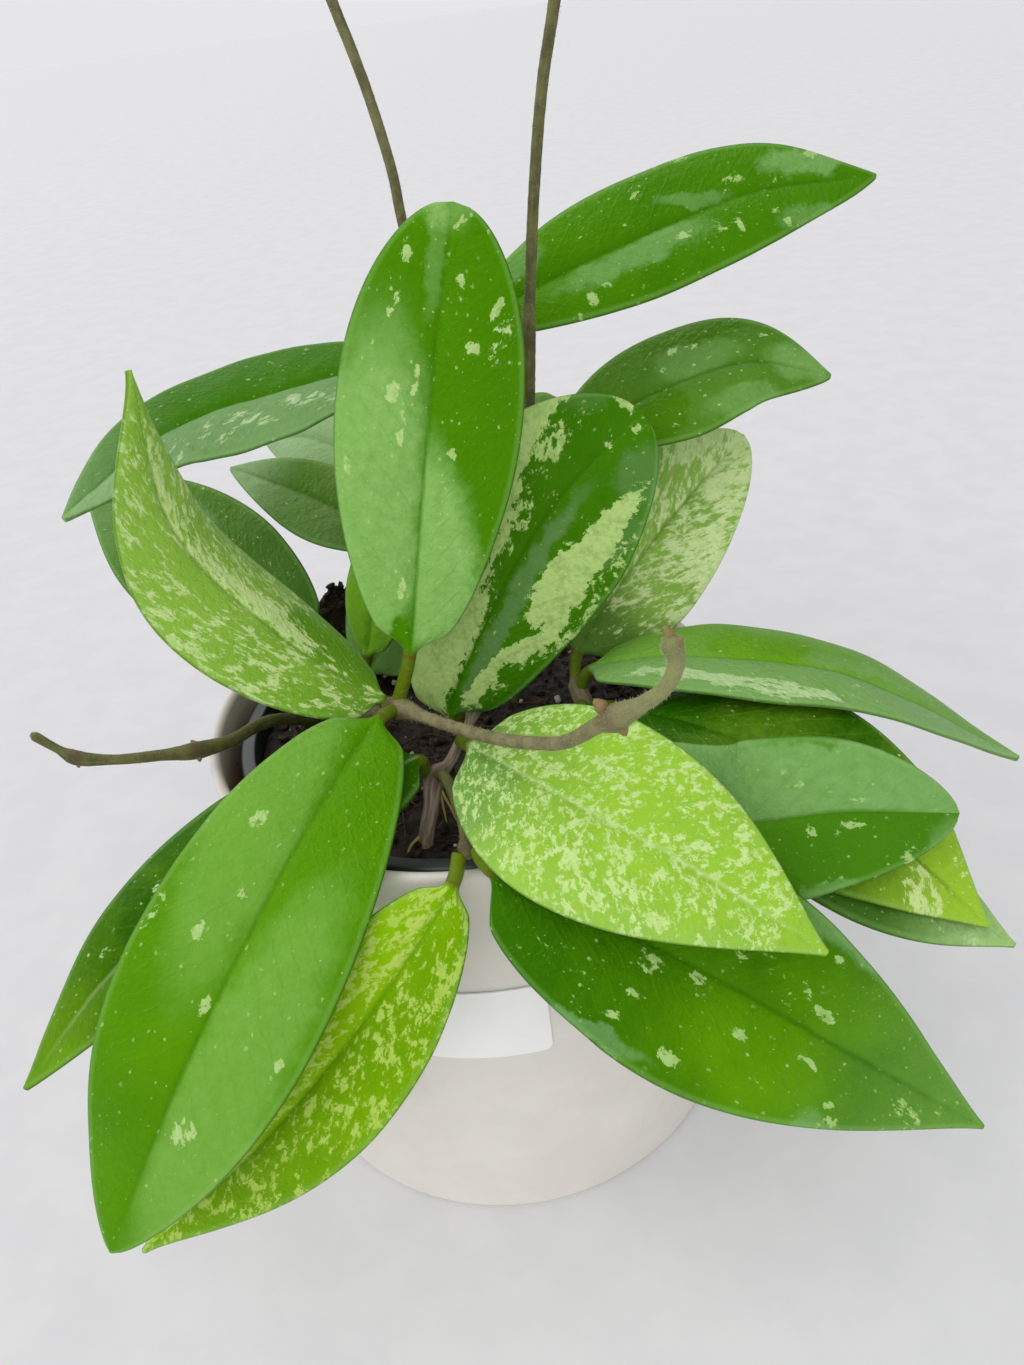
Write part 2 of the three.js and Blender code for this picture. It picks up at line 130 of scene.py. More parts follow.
def pinned(tree, name):  # a value kept on the mesh's points
    node = tree.nodes.new("ShaderNodeAttribute")
    node.attribute_name = name
    return node.outputs["Vector"]


def newGroup(name, takes, gives):
    group = bpy.data.node_groups.new(name, "ShaderNodeTree")
    for label, value in takes.items():
        kind = {float: "NodeSocketFloat", tuple: "NodeSocketColor", list: "NodeSocketVector"}[type(value)]
        socket = group.interface.new_socket(name=label, in_out="INPUT", socket_type=kind)
        socket.default_value = value
    for label, kind in gives.items():
        group.interface.new_socket(name=label, in_out="OUTPUT", socket_type="NodeSocket" + kind)
    return group, group.nodes.new("NodeGroupInput").outputs, group.nodes.new("NodeGroupOutput").inputs


def placed(tree, group, **values):  # the group in a material, with its own values
    node = tree.nodes.new("ShaderNodeGroup")
    node.node_tree = group
    for label, value in values.items():
        wire(tree, node.inputs[label], value)
    return node.outputs


def shade(code, alpha=1.0):  # "#rrggbb" as a linear colour
    parts = [int(code[i : i + 2], 16) / 255 for i in (1, 3, 5)]
    linear = [c / 12.92 if c <= 0.04045 else ((c + 0.055) / 1.055) ** 2.4 for c in parts]
    return (*linear, alpha)


def newMaterial(name, **surface):
    material = bpy.data.materials.new(name)
    material.use_nodes = True
    tree = material.node_tree
    skin = tree.nodes["Principled BSDF"]
    for label, value in surface.items():
        skin.inputs[label].default_value = value
    return material, tree, skin


def relief(tree, skin, height, strength, depth):
    node = tree.nodes.new("ShaderNodeBump")
    node.inputs["Strength"].default_value = strength
    node.inputs["Distance"].default_value = depth
    wire(tree, node.inputs["Height"], height)
    tree.links.new(node.outputs[0], skin.inputs["Normal"])


# Shader groups


def makePatchGroup():  # one oval patch on a leaf, in millimetres
    takes = {
        "Place": [0, 0, 0], "Spot": [0, 0, 0], "Turn": [0, 0, 0], "Size": [1, 1, 1],
        "Strength": 1.0, "Edge": 0.4,
    }
    tree, source, result = newGroup("leafPatch", takes, {"Field": "Float"})
    mapped = tree.nodes.new("ShaderNodeMapping")
    mapped.vector_type = "TEXTURE"
    for label, value in (("Vector", "Place"), ("Location", "Spot"), ("Rotation", "Turn"), ("Scale", "Size")):
        tree.links.new(source[value], mapped.inputs[label])
    far = tree.nodes.new("ShaderNodeVectorMath")
    far.operation = "LENGTH"
    tree.links.new(mapped.outputs[0], far.inputs[0])
    outer, inner = plus(tree, 0.9, source["Edge"]), minus(tree, 0.9, source["Edge"])
    wire(tree, result["Field"], spread(tree, far.outputs["Value"], outer, inner, 0.0, source["Strength"]))
    return tree


def moved(tree, x, y, seed, scale, detail, rough, amount):  # a flat place, pushed about by noise
    noises = tree.nodes.new("ShaderNodeTexNoise")
    tree.links.new(joined(tree, x, y, seed), noises.inputs["Vector"])
    for label, value in (("Scale", scale), ("Detail", detail), ("Roughness", rough)):
        noises.inputs[label].default_value = value
    p, q, _ = parted(tree, noises.outputs["Color"])
    pushed = [
        plus(tree, start, times(tree, minus(tree, push, 0.5), amount))
        for start, push in ((x, p), (y, q))
    ]
    return joined(tree, *pushed, 0.0)


def makeHalfGroup():  # a blade's halves, and its flat place, frayed finely and bent slowly
    takes = {"Place": [0, 0, 0], "Fray": 1.5, "Bend": 8.0, "Seed": 0.0}
    gives = {"Frayed": "Vector", "Bent": "Vector", "Left": "Float", "Right": "Float"}
    tree, source, result = newGroup("bladeHalves", takes, gives)
    x, y, _ = parted(tree, source["Place"])
    tree.links.new(moved(tree, x, y, source["Seed"], 0.65, 4.0, 0.75, source["Fray"]), result["Frayed"])
    tree.links.new(moved(tree, x, y, source["Seed"], 0.16, 5.0, 0.65, source["Bend"]), result["Bent"])
    right = spread(tree, x, -0.15, 0.25)
    wire(tree, result["Right"], right)
    wire(tree, result["Left"], minus(tree, 1.0, right))
    return tree


def makeZoneGroup():  # how strong an effect is on each part of a leaf
    labels = ("Base", "Left", "Right", "LeftRim", "RightRim", "LeftRib", "RightRib", "Foot", "Tip")
    takes = {"Share": [0, 0, 0], **{label: 0.0 for label in labels}}
    tree, source, result = newGroup("leafZones", takes, {"Field": "Float"})
    across, along, _ = parted(tree, source["Share"])
    outward = calc(tree, "ABSOLUTE", across)
    isRight = spread(tree, across, -0.015, 0.015)
    rim = spread(tree, outward, 0.5, 0.85)
    rib = spread(tree, outward, 0.5, 0.12)

    def sided(left, right):
        turned = times(tree, isRight, minus(tree, source[right], source[left]))
        return plus(tree, source[left], turned)

    total = plus(tree, source["Base"], sided("Left", "Right"))
    total = plus(tree, total, times(tree, rim, sided("LeftRim", "RightRim")))
    total = plus(tree, total, times(tree, rib, sided("LeftRib", "RightRib")))
    total = plus(tree, total, times(tree, spread(tree, along, 0.4, 0.05), source["Foot"]))
    total = plus(tree, total, times(tree, spread(tree, along, 0.6, 0.95), source["Tip"]))
    wire(tree, result["Field"], total)
    return tree


def makeSplashGroup():  # ragged flecks along the side veins, with a thin halo, and tiny specks
    takes = {
        "Place": [0, 0, 0], "Density": 0.3, "Size": 2.0, "Stretch": 2.0, "Slant": 1.2, "Seed": 0.0,
        "Specks": 0.3, "Crispness": 0.02, "Clustering": 0.5,
    }
    tree, source, result = newGroup("splashFlecks", takes, {"Mask": "Float", "Specks": "Float"})
    x, y, _ = parted(tree, source["Place"])
    outward = calc(tree, "ABSOLUTE", x)
    slantSquared = times(tree, source["Slant"], source["Slant"])
    tilt = calc(tree, "SQRT", plus(tree, 1.0, slantSquared))
    scale = times(tree, source["Size"], tilt)
    vein = minus(tree, y, times(tree, outward, source["Slant"]))
    out = plus(tree, outward, times(tree, y, source["Slant"]))
    u = calc(tree, "DIVIDE", out, times(tree, scale, source["Stretch"]))
    v = calc(tree, "DIVIDE", vein, scale)
    sided = plus(tree, source["Seed"], times(tree, calc(tree, "SIGN", x), 7.0))
    flecks = grain(tree, joined(tree, u, v, sided), 0.55, 7.0, 0.7, 0.3)
    groupScale = calc(tree, "DIVIDE", 0.14, source["Size"])
    slow = joined(tree, x, y, plus(tree, source["Seed"], 40.0))
    cluster = grain(tree, slow, groupScale, 1.5)
    lift = times(tree, minus(tree, cluster, 0.5), source["Clustering"])
    level = plus(tree, flecks, lift)
    threshold = minus(tree, 0.76, times(tree, source["Density"], 0.5))
    core = spread(tree, level, threshold, plus(tree, threshold, source["Crispness"]))
    halo = spread(tree, level, minus(tree, threshold, 0.035), threshold)
    core = times(tree, core, 0.72)
    halo = times(tree, halo, 0.28)
    wire(tree, result["Mask"], plus(tree, core, halo))
    shifted = joined(tree, plus(tree, x, source["Seed"]), times(tree, y, 0.7), 0.0)
    distance, colour = cells(tree, shifted, 0.55, flat=True)
    draw, size, faint = parted(tree, colour)
    rugged = grain(tree, joined(tree, x, y, 5.0), 1.6, 3.0, 0.7)
    uneven = spread(tree, rugged, 0.35, 0.65, 0.3, 1.8, smooth=False)
    widest = times(tree, calc(tree, "POWER", size, 3.0), 0.17)
    radius = times(tree, plus(tree, 0.025, widest), uneven)
    dot = spread(tree, distance, plus(tree, radius, 0.02), times(tree, radius, 0.5))
    dot = times(tree, dot, spread(tree, faint, 0.0, 1.0, 0.3, 1.0))
    together = spread(tree, cluster, 0.4, 0.62, 0.25, 1.6)
    chosen = calc(tree, "LESS_THAN", draw, times(tree, source["Specks"], together))
    wire(tree, result["Specks"], times(tree, dot, chosen))
    return tree


def makeLeafLinesGroup():  # midrib, side veins and margin of a leaf, and a pale band inside the margin that is painted highlight
    takes = {"Place": [0, 0, 0], "Share": [0, 0, 0], "VeinGap": 6.0, "Slant": 1.2}
    gives = {label: "Float" for label in ("Rib", "Edge", "Bevel", "Veins")}
    tree, source, result = newGroup("leafLines", takes, gives)
    x, y, _ = parted(tree, source["Place"])
    _, s, half = parted(tree, source["Share"])
    outward = calc(tree, "ABSOLUTE", x)
    wander = times(tree, minus(tree, grain(tree, source["Place"], 0.12, 2.0), 0.5), 0.8)
    rib = spread(tree, calc(tree, "ABSOLUTE", plus(tree, x, wander)), 0.75, 0.1)
    wire(tree, result["Rib"], times(tree, rib, spread(tree, s, 1.0, 0.75)))
    fromEdge = minus(tree, half, outward)
    wire(tree, result["Edge"], spread(tree, fromEdge, 0.45, 0.05))
    rimHighlight = times(tree, spread(tree, fromEdge, 1.7, 0.8), spread(tree, fromEdge, 0.1, 0.6))
    wire(tree, result["Bevel"], rimHighlight)
    vein = minus(tree, y, times(tree, outward, source["Slant"]))
    bend = times(tree, grain(tree, source["Place"], 0.07, 3.0), 9.0)
    turns = calc(tree, "DIVIDE", plus(tree, vein, bend), source["VeinGap"])
    wave = calc(tree, "ABSOLUTE", minus(tree, calc(tree, "FRACT", turns), 0.5))
    near = times(tree, spread(tree, wave, 0.12, 0.0), spread(tree, outward, 0.5, 3.0))
    wire(tree, result["Veins"], times(tree, near, spread(tree, fromEdge, 1.0, 5.0)))
    return tree


def makeToneGroup():  # the blade's greens: a cloudy, finely mottled mix of deep and bright
    takes = {
        "Place": [0, 0, 0], "Deep": (0, 0.1, 0, 1), "Bright": (0.1, 0.3, 0, 1),
        "Tone": 0.5, "Clouds": 0.4, "Seed": 0.0,
    }
    tree, source, result = newGroup("leafTones", takes, {"Colour": "Color"})
    x, y, _ = parted(tree, source["Place"])
    place = joined(tree, x, y, source["Seed"])
    slow = minus(tree, grain(tree, place, 0.055, 3.0), 0.5)
    fine = minus(tree, grain(tree, place, 0.5, 4.0, 0.65), 0.5)
    mixed = plus(tree, slow, times(tree, fine, 0.35))
    cloud = times(tree, mixed, source["Clouds"])
    tone = plus(tree, source["Tone"], cloud, clamp=True)
    wire(tree, result["Colour"], blendColour(tree, tone, source["Deep"], source["Bright"]))
    return tree


def makeSheenGroup():  # painted sheen on a blade, a pale wash standing in for reflected light on the glossy surface: cloudy, and finely worn
    takes = {"Place": [0, 0, 0], "Amount": 0.5, "Seed": 0.0}
    tree, source, result = newGroup("paintedSheen", takes, {"Mask": "Float"})
    x, y, _ = parted(tree, source["Place"])
    place = joined(tree, x, times(tree, y, 0.75), source["Seed"])
    cloudy = spread(tree, grain(tree, place, 0.42, 5.0, 0.72), 0.3, 0.7, 0.72, 1.12, smooth=False)
    wire(tree, result["Mask"], times(tree, source["Amount"], cloudy, clamp=True))
    return tree


def makeMottleGroup():  # plain surfaces: a slow colour drift, fine grain and scattered specks
    takes = {
        "Place": [0, 0, 0], "Colour": (0.5, 0.5, 0.5, 1), "Drift": (0.5, 0.5, 0.5, 1), "DriftSize": 20.0,
        "Amount": 0.3, "GrainSize": 1.0, "SpeckSize": 3.0, "SpeckColour": (0.3, 0.3, 0.3, 1), "Specks": 0.0,
    }
    tree, source, result = newGroup("mottledSurface", takes, {"Colour": "Color", "Grain": "Float"})
    slow = grain(tree, source["Place"], calc(tree, "DIVIDE", 1.0, source["DriftSize"]), 4.0, 0.6)
    amount = times(tree, spread(tree, slow, 0.35, 0.65), source["Amount"])
    colour = blendColour(tree, amount, source["Colour"], source["Drift"])
    distance, draw = cells(tree, source["Place"], calc(tree, "DIVIDE", 1.0, source["SpeckSize"]))
    chance, size, _ = parted(tree, draw)
    dot = spread(tree, distance, plus(tree, 0.1, times(tree, size, 0.2)), 0.05)
    speck = times(tree, dot, calc(tree, "LESS_THAN", chance, source["Specks"]))
    wire(tree, result["Colour"], blendColour(tree, speck, colour, source["SpeckColour"]))
    fine = grain(tree, source["Place"], calc(tree, "DIVIDE", 1.0, source["GrainSize"]), 5.0, 0.6)
    wire(tree, result["Grain"], fine)
    return tree


patchGroup = makePatchGroup()
halfGroup = makeHalfGroup()
zoneGroup = makeZoneGroup()
splashGroup = makeSplashGroup()
leafLinesGroup = makeLeafLinesGroup()
toneGroup = makeToneGroup()
sheenGroup = makeSheenGroup()
mottleGroup = makeMottleGroup()
print("shader groups made")


# Meshes: small helpers


def newPiece(name, points, faces, material, node=None, pins=None, flat=False):
    mesh = bpy.data.meshes.new(name)
    points = np.asarray(points, float) * metre
    mesh.from_pydata(points.tolist(), [], [tuple(int(i) for i in face) for face in faces])
    mesh.validate()
    mesh.polygons.foreach_set("use_smooth", [not flat] * len(mesh.polygons))
    for label, values in (pins or {}).items():
        layer = mesh.attributes.new(label, "FLOAT_VECTOR", "POINT")
        layer.data.foreach_set("vector", np.asarray(values, np.float32).ravel())
    mesh.materials.append(material)
    piece = bpy.data.objects.new(name, mesh)
    bpy.context.scene.collection.objects.link(piece)
    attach(piece, "root")
    if node:
        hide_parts(node)
    return piece


def skinFaces(ringCount, perRing, start=0, caps=True):  # quads between rings, and a fan over each end
    faces = []
    for i in range(ringCount - 1):
        for j in range(perRing):
            k = (j + 1) % perRing
            a, b = start + i * perRing + j, start + i * perRing + k
            faces.append((a, b, b + perRing, a + perRing))
    if caps:
        first, last = start, start + (ringCount - 1) * perRing
        faces.append(tuple(first + j for j in reversed(range(perRing))))
        faces.append(tuple(last + j for j in range(perRing)))
    return faces


def turnedSkin(profile, sides, centre=(0, 0)):  # [radius, height] pairs turned about Z, closed on the axis
    angles = np.arange(sides) * 2 * math.pi / sides
    rings = profile[1:-1]
    points = [(centre[0] + r * math.cos(t), centre[1] + r * math.sin(t), z) for r, z in rings for t in angles]
    faces = skinFaces(len(rings), sides, caps=False)
    points += [(centre[0], centre[1], profile[0][1]), (centre[0], centre[1], profile[-1][1])]
    foot, top = len(points) - 2, len(points) - 1
    last = (len(rings) - 1) * sides
    for j in range(sides):
        k = (j + 1) % sides
        faces += [(foot, k, j), (top, last + j, last + k)]
    return points, faces


def arc(centre, radius, start, end, steps):  # points of a profile's rounding, angles in degrees
    angles = np.radians(np.linspace(start, end, steps + 1))
    return [(centre[0] + radius * math.cos(t), centre[1] + radius * math.sin(t)) for t in angles]


def normed(vector):
    return vector / np.linalg.norm(vector)


def smoothStep(t):
    return t * t * (3 - 2 * t)


def pathPoint(points, t):  # centripetal curve through the points
    last = len(points) - 1
    place = min(max(t, 0.0), 1.0) * last
    i = min(int(place), last - 1)
    w = place - i
    p1, p2 = points[i], points[i + 1]
    p0 = points[i - 1] if i > 0 else 2 * points[0] - points[1]
    p3 = points[i + 2] if i + 2 <= last else 2 * points[last] - points[last - 1]
    d0, d1, d2 = (math.sqrt(np.linalg.norm(q - p)) for p, q in ((p0, p1), (p1, p2), (p2, p3)))
    m1 = ((p1 - p0) / d0 - (p2 - p0) / (d0 + d1) + (p2 - p1) / d1) * d1
    m2 = ((p2 - p1) / d1 - (p3 - p1) / (d1 + d2) + (p3 - p2) / d2) * d1
    return p1 + m1 * w + (3 * (p2 - p1) - 2 * m1 - m2) * w * w + (2 * (p1 - p2) + m1 + m2) * w**3


def pathHeading(points, t):
    step = 1e-4
    return normed(pathPoint(points, min(1.0, t + step)) - pathPoint(points, max(0.0, t - step)))


# Pots and label

cachepotLook = dict(
    radius=62.5, height=120, wall=2.75, floor=3, footRound=2, sides=168,
    colour="#e4dfd8", drift="#dcd7cf", roughness=0.42, grain=0.7, relief=0.04, specks=0.02,
)
nurseryLook = dict(
    lipRadius=57, topRadius=54.5, footRadius=46, wall=1.4, floor=2, lipHeight=4, top=115.5,
    centre=(0.8, 1.2), sides=144, colour="#1c2421", drift="#27302e", speck="#55605c",
    roughness=0.42, grain=0.5, relief=0.06, specks=0.1,
)
labelLook = dict(
    width=33, height=22, thickness=0.4, corner=2, middleAngle=-94.8, middleHeight=74.8, tilt=2,
    colour="#fbfafa", drift="#f4f2f2", roughness=0.6, grain=0.25, relief=0.03,
)
pieceGap = 0.3


def plainMaterial(name, look, **surface):
    material, tree, skin = newMaterial(name, Roughness=look["roughness"], **surface)
    mottle = placed(
        tree, mottleGroup, Place=inMillimetres(tree), Colour=shade(look["colour"]),
        Drift=shade(look["drift"]), DriftSize=22.0, Amount=0.8, GrainSize=look["grain"],
        SpeckSize=6.0, SpeckColour=shade(look.get("speck", "#b9b4aa")), Specks=look.get("specks", 0.0),
    )
    wire(tree, skin.inputs["Base Color"], mottle["Colour"])
    relief(tree, skin, mottle["Grain"], 0.35, look["relief"] * metre)
    return material


def makeCachepot(look):
    outer, inner, top = look["radius"], look["radius"] - look["wall"], look["height"]
    lip, foot = look["wall"] / 2, look["footRound"]
    profile = [(0, 0.35), (outer - 9, 0.35), (outer - 8, 0)]  # a shallow hollow under the foot
    profile += arc((outer - foot, foot), foot, -90, 0, 8)
    profile += [(outer, h) for h in np.linspace(foot + 4, top - lip - 4, 12)]
    profile += arc((outer - lip, top - lip), lip, 0, 180, 14)
    profile += [(inner, h) for h in np.linspace(top - lip - 3, look["floor"] + 3, 6)]
    profile += arc((inner - 2, look["floor"] + 2), 2, 0, -90, 5) + [(0, look["floor"])]
    glow = {"Subsurface Weight": 0.25, "Subsurface Scale": 0.003, "IOR": 1.46}
    material = plainMaterial("whitePlastic", look, **glow)
    points, faces = turnedSkin(profile, look["sides"])
    newPiece("cachepot_shell", points, faces, material, node="cachepot")


def nurseryInner(look, height):
    foot = cachepotLook["floor"] + pieceGap
    share = (height - foot) / (look["top"] - foot)
    return look["footRadius"] + (look["topRadius"] - look["footRadius"]) * share - look["wall"]


def makeNurseryPot(look):
    foot = cachepotLook["floor"] + pieceGap
    lipFoot, floorTop, top = look["top"] - look["lipHeight"], foot + look["floor"], look["top"]
    outerBelowLip = nurseryInner(look, lipFoot) + look["wall"]
    lipOuter, innerTop = look["lipRadius"], nurseryInner(look, top)
    profile = [(0, foot), (look["footRadius"] - 2, foot)]
    profile += [(look["footRadius"] - 0.6, foot + 0.2), (look["footRadius"], foot + 0.9)]
    profile += [(outerBelowLip - 0.2, lipFoot - 0.6), (outerBelowLip + 0.2, lipFoot)]
    profile += [(lipOuter - 0.4, lipFoot), (lipOuter, lipFoot + 0.4), (lipOuter, top - 1.2)]
    profile += arc((lipOuter - 0.9, top - 0.9), 0.9, 0, 90, 5)
    profile += arc((innerTop + 0.7, top - 0.7), 0.7, 90, 180, 5)
    profile += [(nurseryInner(look, h), h) for h in np.linspace(top - 2, floorTop + 1, 12)]
    profile += [(nurseryInner(look, floorTop) - 0.8, floorTop), (0, floorTop)]
    material = plainMaterial("darkPlastic", look)
    points, faces = turnedSkin(profile, look["sides"], look["centre"])
    newPiece("nursery_pot_shell", points, faces, material, node="nursery_pot")


def makeLabel(look):
    inner = cachepotLook["radius"] + pieceGap / 2
    outer = inner + look["thickness"]
    columns, levels = 60, 16
    rings = []
    for share in np.linspace(-1, 1, columns + 1):
        share = math.sin(share * math.pi / 2)  # closer columns at the rounded ends
        along = share * look["width"] / 2
        fromEnd = look["width"] / 2 - abs(along)
        corner = look["corner"]
        cut = corner - math.sqrt(max(0, corner**2 - max(0, corner - fromEnd) ** 2))
        half = look["height"] / 2 - cut
        angle = math.radians(look["middleAngle"]) + along / cachepotLook["radius"]
        middle = look["middleHeight"] - along * math.tan(math.radians(look["tilt"]))
        heights = np.linspace(half, -half, levels)
        ring = [(inner, h) for h in heights[::-1]] + [(outer, h) for h in heights]
        rings += [(r * math.cos(angle), r * math.sin(angle), middle + h) for r, h in ring]
    faces = [face[::-1] for face in skinFaces(columns + 1, 2 * levels)]
    material = plainMaterial("labelPaper", look)
    newPiece("label_paper_patch", rings, faces, material, node="blank_label", flat=True)


makeCachepot(cachepotLook)
makeNurseryPot(nurseryLook)
makeLabel(labelLook)
print("pots and label made")


# Potting mix

soilLook = dict(
    top=110.5, crumb=1.5, rings=84, sides=240, mound=dict(x=-32, y=37, height=23, spread=13, scatter=9),
    bed=("#120e0a", "#2e2117", "#6b5138"), bark=("#1a120c", "#3f2c1f", "#6f563e"),
    white=("#cfcabd", "#a89f8c", "#8a7f6c"), coir=("#4e3826", "#6e5238", "#8a6c4c"), chunks=1200,
    onHeap=260, chunkSize=(0.8, 3.4), perlite=120, perliteSize=(0.5, 1.7), fibres=90, fibreLength=(5, 16),
    seed=11,
    crumbLayers=((0.28, 3.1, 0.55), (0.75, 7.7, 0.5), (1.9, 1.3, 0.25)), moundCrumb=0.9, rimGap=2.5,
    fibreRimGap=8, fibreBend=0.25, fibreSteps=10, fibreThick=(0.07, 0.2), fibreArch=0.9, overReach=5,
)


def onMound(x, y):  # 1 on the mound's peak, 0 away from it
    mound = soilLook["mound"]
    return math.exp(-((x - mound["x"]) ** 2 + (y - mound["y"]) ** 2) / mound["spread"] ** 2)


def soilHeight(x, y):
    return soilLook["top"] + soilLook["mound"]["height"] * onMound(x, y)


def crumbs(x, y):
    layers = soilLook["crumbLayers"]
    rough = sum(share * noise.noise(Vector((x * scale, y * scale, z))) for scale, z, share in layers)
    return soilLook["crumb"] * (1 + soilLook["moundCrumb"] * onMound(x, y)) * rough


def aroundCentre(radius, angle):  # a spot on the potting mix
    centre = nurseryLook["centre"]
    return centre[0] + radius * math.cos(angle), centre[1] + radius * math.sin(angle)


def fromCentre(x, y):
    centre = nurseryLook["centre"]
    return math.hypot(x - centre[0], y - centre[1])


def randomSpot(rng, reach):
    radius, angle = reach * math.sqrt(rng.uniform()), rng.uniform(0, 2 * math.pi)
    return aroundCentre(radius, angle)


def soilMaterial(name, dark, light, fleck):
    material, tree, skin = newMaterial(name, Roughness=0.95)
    look = placed(
        tree, mottleGroup, Place=inMillimetres(tree), Colour=shade(dark), Drift=shade(light), DriftSize=2.4,
        Amount=0.9, GrainSize=0.5, SpeckSize=2.2, SpeckColour=shade(fleck), Specks=0.12,
    )
    wire(tree, skin.inputs["Base Color"], look["Colour"])
    wire(tree, skin.inputs["Roughness"], spread(tree, look["Grain"], 0.3, 0.7, 1.0, 0.7))
    relief(tree, skin, look["Grain"], 0.8, 0.0004)
    return material


def makeSoil(look):
    bottom = cachepotLook["floor"] + pieceGap + nurseryLook["floor"] + pieceGap
    edge = nurseryInner(nurseryLook, look["top"] - 1) - pieceGap
    rings = [(nurseryInner(nurseryLook, bottom) - pieceGap, lambda x, y: bottom)]
    rings.append((nurseryInner(nurseryLook, look["top"] - 4) - pieceGap, lambda x, y: look["top"] - 4))
    for share in np.linspace(1, 0.004, look["rings"]):
        rings.append((edge * share, lambda x, y: soilHeight(x, y) + crumbs(x, y)))
    points = []
    for radius, height in rings:
        for angle in np.arange(look["sides"]) * 2 * math.pi / look["sides"]:
            x, y = aroundCentre(radius, angle)
            points.append((x, y, height(x, y)))
    faces = skinFaces(len(rings), look["sides"])
    material = soilMaterial("pottingMix", *look["bed"])
    newPiece("potting_mix_bed", points, faces, material, node="potting_mix")


def lumpShape():  # an icosahedron split once, as unit points and triangles
    g = (1 + math.sqrt(5)) / 2
    corners = [(-1, g, 0), (1, g, 0), (-1, -g, 0), (1, -g, 0), (0, -1, g), (0, 1, g)]
    corners += [(0, -1, -g), (0, 1, -g), (g, 0, -1), (g, 0, 1), (-g, 0, -1), (-g, 0, 1)]
    faces = [(0, 11, 5), (0, 5, 1), (0, 1, 7), (0, 7, 10), (0, 10, 11), (1, 5, 9), (5, 11, 4), (11, 10, 2)]
    faces += [(10, 7, 6), (7, 1, 8), (3, 9, 4), (3, 4, 2), (3, 2, 6), (3, 6, 8), (3, 8, 9), (4, 9, 5)]
    faces += [(2, 4, 11), (6, 2, 10), (8, 6, 7), (9, 8, 1)]
    points = [np.array(c, float) / math.hypot(1, g) for c in corners]
    middles, split = {}, []

    def middle(i, j):
        key = (min(i, j), max(i, j))
        if key not in middles:
            points.append(normed(points[i] + points[j]))
            middles[key] = len(points) - 1
        return middles[key]

    for a, b, c in faces:
        ab, bc, ca = middle(a, b), middle(b, c), middle(c, a)
        split += [(a, ab, ca), (b, bc, ab), (c, ca, bc), (ab, bc, ca)]
    return np.array(points), np.array(split)


def randomTurn(rng):
    axis = rng.normal(size=3)
    return np.array(Matrix.Rotation(rng.uniform(0, 2 * math.pi), 3, Vector(axis).normalized()))


def scatterLumps(rng, count, sizes, squash, sink, roughen, onHeap=0):
    unit, triangles = lumpShape()
    reach = nurseryInner(nurseryLook, soilLook["top"]) - soilLook["rimGap"]
    points, faces = [], []
    for number in range(count):
        x, y = randomSpot(rng, reach)
        if number < onHeap:
            mound = soilLook["mound"]
            x, y = (mound[axis] + mound["scatter"] * rng.normal() for axis in "xy")
            if fromCentre(x, y) > reach:
                continue
        size = sizes[0] + (sizes[1] - sizes[0]) * rng.uniform() ** 2.2
        rough = 1 + roughen * rng.normal(size=len(unit))
        shape = (unit * rough[:, None]) * np.array([1, rng.uniform(*squash), rng.uniform(*squash)]) * size / 2
        turned = shape @ randomTurn(rng).T
        where = np.array([x, y, soilHeight(x, y) + crumbs(x, y) + sink * size])
        faces += (triangles + len(points) * len(unit)).tolist()
        points.append(turned + where)
    return np.concatenate(points), faces


def scatterFibres(rng, look):
    reach = nurseryInner(nurseryLook, look["top"]) - look["fibreRimGap"]
    bends, count = look["fibreBend"], look["fibreSteps"]
    points, faces = [], []
    for _ in range(look["fibres"]):
        x, y = randomSpot(rng, reach)
        heading, bend = rng.uniform(0, 2 * math.pi), rng.uniform(-bends, bends)
        step = rng.uniform(*look["fibreLength"]) / count
        thick = rng.uniform(*look["fibreThick"])
        route = []
        for i in range(count + 1):
            arch = look["fibreArch"] * math.sin(math.pi * i / count)
            route.append(np.array([x, y, soilHeight(x, y) + crumbs(x, y) + arch]))
            heading += bend
            x, y = x + step * math.cos(heading), y + step * math.sin(heading)
            if fromCentre(x, y) > reach + look["overReach"]:
                break
        if len(route) < 4:
            continue
        addTube(points, faces, route, [thick] * len(route), 5, len(route))
    return points, faces


def loft(points, radii, sides, steps, bumps=None):  # round rings along a smooth path
    path = [np.asarray(p, float) for p in points]
    up = normed(np.array([0.31, 0.95, 0.05]))
    rings = []
    for i in range(steps + 1):
        t = i / steps
        place = t * (len(path) - 1)
        lower = min(int(place), len(path) - 2)
        radius = radii[lower] + (radii[lower + 1] - radii[lower]) * smoothStep(place - lower)
        heading = pathHeading(path, t)
        side = normed(np.cross(heading, up))
        up = np.cross(side, heading)
        middle = pathPoint(path, t)
        ring = []
        for j in range(sides):
            angle = 2 * math.pi * j / sides
            reach = radius * (1 + (bumps(i, j) if bumps else 0))
            ring.append(middle + side * (reach * math.cos(angle)) - up * (reach * math.sin(angle)))
        rings.append(ring)
    return rings


def addTube(points, faces, route, radii, sides, steps):
    rings = loft(route, radii, sides, steps)
    faces += skinFaces(len(rings), sides, start=len(points))
    points += [p for ring in rings for p in ring]


